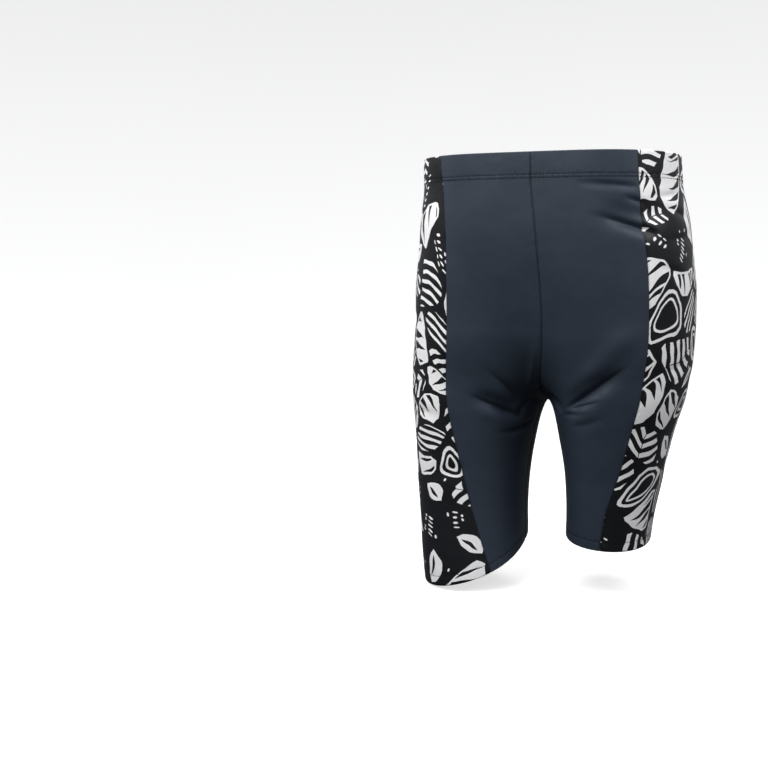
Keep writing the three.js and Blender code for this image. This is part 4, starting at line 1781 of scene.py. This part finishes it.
class ShortsSizes(bpy.types.PropertyGroup):
    cloth_wall: bpy.props.FloatProperty(
        name="Cloth thickness", description="One layer of the stretch cloth", default=0.9 * MM,
        min=0.4 * MM, max=1.2 * MM, unit="LENGTH")
    hem_wall: bpy.props.FloatProperty(
        name="Hem thickness", description="The cloth turned in once at the leg's end", default=1.9 * MM,
        min=0.8 * MM, max=2.4 * MM, unit="LENGTH")
    stitch_length: bpy.props.FloatProperty(
        name="Stitch length", description="Length of thread that shows in one stitch", default=1.8 * MM,
        min=0.5 * MM, max=5 * MM, unit="LENGTH")
    stitch_pitch: bpy.props.FloatProperty(
        name="Stitch spacing", description="From the start of one stitch to the next", default=2.8 * MM,
        min=1 * MM, max=8 * MM, unit="LENGTH")
    thread_width: bpy.props.FloatProperty(
        name="Thread width", description="Width of the sewing thread", default=0.85 * MM,
        min=0.2 * MM, max=1.2 * MM, unit="LENGTH")
    stitch_groove: bpy.props.FloatProperty(
        name="Stitch groove", description="How far the waistband's stitching pulls the cloth in",
        default=0.16 * MM, min=0, max=1 * MM, unit="LENGTH")
    channel_depth: bpy.props.FloatProperty(
        name="Pad channel depth", description="How deep the seat pad's sewn channels are",
        default=CHANNEL_DEPTH * MM, min=0, max=6 * MM, unit="LENGTH")
    crease_strength: bpy.props.FloatProperty(
        name="Crease strength", description="Share of their own depth that the creases have", default=1.0,
        min=0, max=1.5, subtype="FACTOR")
    gather_strength: bpy.props.FloatProperty(
        name="Gather strength", description="Share of their own depth that the waistband's gathers have",
        default=1.0, min=0, max=2, subtype="FACTOR")


class ShortsColours(bpy.types.PropertyGroup):
    navy: bpy.props.FloatVectorProperty(
        name="Front and back cloth", description="Dark navy satin knit", default=(0.028, 0.039, 0.057),
        size=3, min=0, max=1, subtype="COLOR")
    ink: bpy.props.FloatVectorProperty(
        name="Print ink", description="Black of the side panels' print", default=(0.0075, 0.008, 0.0105),
        size=3, min=0, max=1, subtype="COLOR")
    white: bpy.props.FloatVectorProperty(
        name="Print ground", description="White of the side panels' print", default=(0.93, 0.925, 0.93),
        size=3, min=0, max=1, subtype="COLOR")
    wrong_side: bpy.props.FloatVectorProperty(
        name="Wrong side of the print", description="Inside of the printed cloth",
        default=(0.42, 0.42, 0.44), size=3, min=0, max=1, subtype="COLOR")
    thread: bpy.props.FloatVectorProperty(
        name="Thread", description="Sewing thread", default=(0.004, 0.005, 0.008),
        size=3, min=0, max=1, subtype="COLOR")
    pad: bpy.props.FloatVectorProperty(
        name="Seat pad", description="Brushed cover of the seat pad", default=(0.016, 0.017, 0.021),
        size=3, min=0, max=1, subtype="COLOR")
    card: bpy.props.FloatVectorProperty(
        name="Studio card", description="Floor and walls of the studio", default=(0.62, 0.62, 0.62),
        size=3, min=0, max=1, subtype="COLOR")
    sheen: bpy.props.FloatProperty(
        name="Sheen", description="Soft pale sheen of the satin knit at its edges", default=0.04,
        min=0, max=1, subtype="FACTOR")
    gloss: bpy.props.FloatProperty(
        name="Gloss", description="Strength of the knit's reflections", default=0.25,
        min=0, max=1, subtype="FACTOR")


class ShortsStudio(bpy.types.PropertyGroup):
    turn: bpy.props.FloatProperty(
        name="Camera turn", description="How far the camera stands to the wearer's left of the front",
        default=math.radians(14), subtype="ANGLE")
    reach: bpy.props.FloatProperty(
        name="Camera distance", description="From the camera to the middle of the waistband",
        default=1.21, min=0.3, max=10, unit="LENGTH")
    eye: bpy.props.FloatProperty(
        name="Camera height", description="Height of the camera above the waistband's middle",
        default=-0.09, min=-3, max=3, unit="LENGTH")
    lens: bpy.props.FloatProperty(
        name="Lens", description="Focal length on a 36 mm frame", default=53.906, min=10, max=300)
    key_light: bpy.props.FloatProperty(
        name="Key light", description="Power of the large soft light above the front",
        default=8.0, min=0, max=500)
    side_light: bpy.props.FloatProperty(
        name="Side lights", description="Power of each soft light at the sides",
        default=5.0, min=0, max=500)
    back_light: bpy.props.FloatProperty(
        name="Back light", description="Power of the soft light behind", default=7.5, min=0, max=500)
    sky: bpy.props.FloatProperty(
        name="Sky", description="Strength of the even light from above", default=0.75, min=0, max=10)


# Colours are made once, and every piece takes its own from here

def finishes():
    """The materials by name, made when they are first wanted."""
    colours = bpy.context.scene.shorts_colours
    if "navy_cloth" not in bpy.data.materials:
        # each cloth is darkened along its seams and stitching by the amount given: the seam's own dark
        # line, with painted shade
        stretch_cloth("navy_cloth", colours.navy, colours, streaks=0.25)
        # stronger pale streaks for the right back panel, partly painted highlight
        stretch_cloth("navy_cloth_grain", colours.navy, colours, streaks=1.6)
        stretch_cloth("navy_inside", shade(colours.navy, 0.8), colours, rough=0.62)
        stretch_cloth("print_ink", colours.ink, colours, seam_line_and_shade=0.4, rough=0.42)
        stretch_cloth("print_white", colours.white, colours, seam_line_and_shade=0.3, rough=0.5, mottle=0.02)
        stretch_cloth("print_inside", colours.wrong_side, colours, seam_line_and_shade=0.3, rough=0.6, mottle=0.1)
        thread_finish("sewing_thread", colours.thread)
        pad_finish("pad_cover", colours.pad)
        studio_finish("studio_card", colours.card)
    return bpy.data.materials


# Each sheet's flat cut in metres, and how a piece is hung from the root with its solid hidden
CUTS = {
    "front": {"flat": (0.165, 0.385), "area": 0.0355},
    "side": {"flat": (0.185, 0.41), "area": 0.060},
    "back": {"flat": (0.17, 0.40), "area": 0.046},
    "waistband": {"flat": (0.66, 0.026), "area": 0.01716},
}
SLOTS = {"front": "front_back_cloth", "side": "printed_cloth", "back": "front_back_cloth"}


def declared(piece, node, slot, cut):
    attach(piece, "root")
    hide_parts(node)
    return piece


def navy_panel(kind, side):
    scene = bpy.context.scene
    cloth = Cloth()
    surface = panel_surface(kind, side, scene.shorts_sizes)
    add_plain(cloth, surface, 0, 1)
    # the right back panel takes the cloth whose stronger pale streaks are partly painted highlight
    outside = "navy_cloth_grain" if kind == "back" and side == "right" else "navy_cloth"
    made = finishes()
    name = f"{kind}_panel_{side}"
    piece = cloth.piece(name, [made[outside], made["navy_inside"]])
    return declared(piece, f"{kind}_{side}", SLOTS[kind], CUTS[kind])


class SHORTS_OT_studio(bpy.types.Operator):
    """Make the pale studio, its soft lights and the camera"""

    bl_idname = "shorts.studio"
    bl_label = "Studio and camera"

    def execute(self, context):
        studio = context.scene.shorts_studio
        make_studio_card()
        make_lights(studio)
        make_camera(studio)
        return {"FINISHED"}


class SHORTS_OT_front_panels(bpy.types.Operator):
    """Make the two navy front panels with their creases and turned hems"""

    bl_idname = "shorts.front_panels"
    bl_label = "Front panels"

    def execute(self, context):
        for side in SIDES:
            navy_panel("front", side)
        return {"FINISHED"}


class SHORTS_OT_back_panels(bpy.types.Operator):
    """Make the two navy back panels"""

    bl_idname = "shorts.back_panels"
    bl_label = "Back panels"

    def execute(self, context):
        for side in SIDES:
            navy_panel("back", side)
        return {"FINISHED"}


class SHORTS_OT_side_panels(bpy.types.Operator):
    """Make the two side panels, cut along the motifs of their print"""

    bl_idname = "shorts.side_panels"
    bl_label = "Printed side panels"

    def execute(self, context):
        made = finishes()
        for side in SIDES:
            cloth = Cloth()
            surface = panel_surface("side", side, context.scene.shorts_sizes)
            add_printed(cloth, surface, print_motifs(side), 0.0, 0, 1, 2)
            materials = [made["print_ink"], made["print_white"], made["print_inside"]]
            piece = cloth.piece(f"side_panel_{side}", materials)
            declared(piece, f"side_{side}", SLOTS["side"], CUTS["side"])
        return {"FINISHED"}


class SHORTS_OT_waistband(bpy.types.Operator):
    """Make the folded waistband, navy at the front and back and printed at the sides"""

    bl_idname = "shorts.waistband"
    bl_label = "Waistband"

    def execute(self, context):
        made = finishes()
        cloth = Cloth()
        for side in SIDES:
            for kind in BAND_LENGTHS:
                surface = band_surface(kind, side, context.scene.shorts_sizes)
                if kind == "side":
                    add_printed(cloth, surface, print_motifs(side), BAND_HEIGHT + GAP, 2, 3, 4)
                else:
                    add_plain(cloth, surface, 0, 1)
        names = ("navy_cloth", "navy_inside", "print_ink", "print_white", "print_inside")
        piece = cloth.piece("waistband_casing", [made[name] for name in names])
        declared(piece, "waistband", "waistband", CUTS["waistband"])
        return {"FINISHED"}


class SHORTS_OT_stitching(bpy.types.Operator):
    """Make the stitches of the waistband, the hems and the seat pad's arch"""

    bl_idname = "shorts.stitching"
    bl_label = "Stitching"

    def execute(self, context):
        sizes = context.scene.shorts_sizes
        thread = finishes()["sewing_thread"]
        band = []
        for side in SIDES:
            for kind in BAND_LENGTHS:
                surface = band_surface(kind, side, sizes)
                band += [surface_line(surface, -height) for height in BAND_STITCH]
        pieces = [sewn("waistband_topstitch", band, sizes, thread)]
        for side in SIDES:
            hem_row = 3 - HEM_LINE / HEM_DEPTH
            panels = [panel_surface(kind, side, sizes) for kind in PANEL_EDGES]
            runs = [surface_line(panel, hem_row) for panel in panels]
            pieces.append(sewn(f"hem_topstitch_{side}", runs, sizes, thread))
        arch = [arch_run(offset, sizes) for offset in (-ARCH_TWIN, ARCH_TWIN)]
        pieces.append(sewn("seat_pad_topstitch", arch, sizes, thread))
        for piece in pieces:
            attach(piece, "root")
        return {"FINISHED"}


def arch_run(offset, sizes):
    """One row of the stitches that hold the seat pad, and its normals."""
    places = arch_path(offset, ARCH_RUN_STEP)
    normal = outwards(places)
    way, hold = seam_way(places)
    lift = relief(places, sizes.crease_strength) - hold * ARCH_DIP * bell(way, ARCH_WIDTH)
    return places + lift[:, None] * normal, normal


class SHORTS_OT_seat_pad(bpy.types.Operator):
    """Make the padded seat pad inside the shorts, with its sewn channels"""

    bl_idname = "shorts.seat_pad"
    bl_label = "Seat pad"

    def execute(self, context):
        outer, padded, flat, normal, to_edge = pad_grid(context.scene.shorts_sizes)
        faces = grid_faces(PAD_ROWS + 1, PAD_COLUMNS + 1)
        faces = turned_out(outer, faces, normal)
        number = len(outer)
        rim = rim_edges(faces)
        sides = np.stack([rim[:, 1], rim[:, 0], rim[:, 0] + number, rim[:, 1] + number], axis=1)
        whole = np.concatenate([faces, faces[:, ::-1] + number, sides])
        piece = new_piece(
            "seat_pad_cover",
            np.concatenate([outer, padded]),
            whole,
            [finishes()["pad_cover"]],
            flat=np.concatenate([flat, flat]),
        )
        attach(piece, "root")
        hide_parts("seat_pad")
        return {"FINISHED"}


# The studio

FLOOR_DROP = 0.0015
CARD_REACH = 3.4
CARD_BEND = 1.6
CARD_TOP = 3.2
CARD_SPOKES = 96
CARD_FIRST_RING = 0.4
CARD_FLAT_RINGS = 5
CARD_BEND_RINGS = 16


def card_profile():
    """The card from its first ring outwards: flat, then bent up, then upright."""
    flat = CARD_REACH - CARD_BEND
    profile = [(reach, 0.0) for reach in np.linspace(CARD_FIRST_RING, flat, CARD_FLAT_RINGS)]
    for turn in np.linspace(0, math.pi / 2, CARD_BEND_RINGS)[1:]:
        profile.append((flat + CARD_BEND * math.sin(turn), CARD_BEND * (1 - math.cos(turn))))
    return profile + [(CARD_REACH, CARD_TOP)]


def make_studio_card():
    """A round pale floor that bends up into a wall all round."""
    floor = CAD_BOX[0].z - FLOOR_DROP
    profile = card_profile()
    turn = np.linspace(0, 2 * np.pi, CARD_SPOKES, endpoint=False)
    points = [(0.0, 0.0, floor)]
    for reach, height in profile:
        points += [(reach * math.cos(t), reach * math.sin(t), floor + height) for t in turn]
    faces = [(0, 1 + k, 1 + (k + 1) % CARD_SPOKES) for k in range(CARD_SPOKES)]
    for ring in range(len(profile) - 1):
        first = 1 + ring * CARD_SPOKES
        for k in range(CARD_SPOKES):
            after = (k + 1) % CARD_SPOKES
            a = first + k
            b = first + after
            faces.append((a, a + CARD_SPOKES, b + CARD_SPOKES, b))
    card = new_piece("studio_floor", np.array(points) / MM, faces, [finishes()["studio_card"]])
    card.visible_diffuse = False
    card.visible_glossy = False
    card.visible_shadow = False


# Each light's place and size in metres, and the setting that holds its power
LIGHTS = {
    "key_light": ((-0.22, -0.72, 0.66), (0.7, 0.4), "key_light"),
    "left_light": ((0.85, -0.15, 0.62), (0.4, 0.6), "side_light"),
    "right_light": ((-0.85, -0.15, 0.62), (0.4, 0.6), "side_light"),
    "back_light": ((0.12, 0.78, 0.66), (0.7, 0.4), "back_light"),
}
LIGHTS_AIM = (0.0, 0.0, -0.2)


def make_light(name, place, size, power):
    data = bpy.data.lights.new(name, "AREA")
    data.shape = "RECTANGLE"
    data.size, data.size_y = size
    data.energy = power
    lamp = bpy.data.objects.new(name, data)
    lamp.location = place
    way = Vector(LIGHTS_AIM) - Vector(place)
    lamp.rotation_euler = way.to_track_quat("-Z", "Y").to_euler()
    bpy.context.scene.collection.objects.link(lamp)


def make_lights(studio):
    for name, (place, size, setting) in LIGHTS.items():
        make_light(name, place, size, getattr(studio, setting))
    make_sky(studio.sky)
    bpy.context.scene.view_settings.view_transform = "Standard"


# The sky's light from straight below to straight above, and its tint
SKY = ((0.0, 0.04), (0.42, 0.10), (0.58, 0.55), (1.0, 1.0))
SKY_TINT = (0.97, 0.98, 1.0)


def make_sky(strength):
    """Even light from above that falls away to little from below."""
    world = bpy.data.worlds.new("studio_sky")
    world.use_nodes = True
    tree = world.node_tree
    coordinates = tree.nodes.new("ShaderNodeTexCoord")
    parts = tree.nodes.new("ShaderNodeSeparateXYZ")
    height = tree.nodes.new("ShaderNodeMapRange")
    height.inputs["From Min"].default_value = -1.0
    ramp = tree.nodes.new("ShaderNodeValToRGB")
    stops = ramp.color_ramp.elements
    while len(stops) < len(SKY):
        stops.new(0.5)
    for stop, (place, light) in zip(stops, SKY):
        stop.position = place
        stop.color = (*shade(SKY_TINT, light), 1.0)
    sky = tree.nodes["Background"]
    sky.inputs["Strength"].default_value = strength
    tree.links.new(coordinates.outputs["Generated"], parts.inputs[0])
    tree.links.new(parts.outputs["Z"], height.inputs["Value"])
    tree.links.new(height.outputs[0], ramp.inputs[0])
    tree.links.new(ramp.outputs[0], sky.inputs["Color"])
    bpy.context.scene.world = world


# The camera's aim in degrees, up from level and round from the front
AIM_PITCH = -6.169
AIM_TURN = 22.319
FRAME_WIDTH = 36.0


def make_camera(studio):
    data = bpy.data.cameras.new("camera")
    data.sensor_width = FRAME_WIDTH
    data.lens = studio.lens
    camera = bpy.data.objects.new("camera", data)
    across = studio.reach * math.sin(studio.turn)
    back = studio.reach * math.cos(studio.turn)
    camera.location = (across, -back, studio.eye)
    camera.rotation_euler = Euler((math.radians(90 + AIM_PITCH), 0.0, math.radians(AIM_TURN)))
    bpy.context.scene.collection.objects.link(camera)
    bpy.context.scene.camera = camera


OPERATORS = (
    SHORTS_OT_studio,
    SHORTS_OT_waistband,
    SHORTS_OT_front_panels,
    SHORTS_OT_side_panels,
    SHORTS_OT_back_panels,
    SHORTS_OT_seat_pad,
    SHORTS_OT_stitching,
)


class SHORTS_PT_panel(bpy.types.Panel):
    """The shorts' sizes, colours and pieces"""

    bl_label = "Padded shorts"
    bl_idname = "SHORTS_PT_panel"
    bl_space_type = "VIEW_3D"
    bl_region_type = "UI"
    bl_category = "Shorts"

    def draw(self, context):
        groups = (context.scene.shorts_sizes, context.scene.shorts_colours, context.scene.shorts_studio)
        for group in groups:
            box = self.layout.box()
            for name in group.__annotations__:
                box.prop(group, name)
        for operator in OPERATORS:
            self.layout.operator(operator.bl_idname)


GROUPS = (("shorts_sizes", ShortsSizes), ("shorts_colours", ShortsColours), ("shorts_studio", ShortsStudio))


def register():
    for name, group in GROUPS:
        bpy.utils.register_class(group)
        setattr(bpy.types.Scene, name, bpy.props.PointerProperty(type=group))
    for made in (*OPERATORS, SHORTS_PT_panel):
        bpy.utils.register_class(made)


def unregister():
    for made in (SHORTS_PT_panel, *reversed(OPERATORS)):
        bpy.utils.unregister_class(made)
    for name, group in reversed(GROUPS):
        delattr(bpy.types.Scene, name)
        bpy.utils.unregister_class(group)


def main():
    register()
    bpy.ops.shorts.studio()
    bpy.ops.shorts.waistband()
    bpy.ops.shorts.front_panels()
    bpy.ops.shorts.side_panels()
    bpy.ops.shorts.back_panels()
    bpy.ops.shorts.seat_pad()
    bpy.ops.shorts.stitching()


if __name__ == "__main__":
    main()
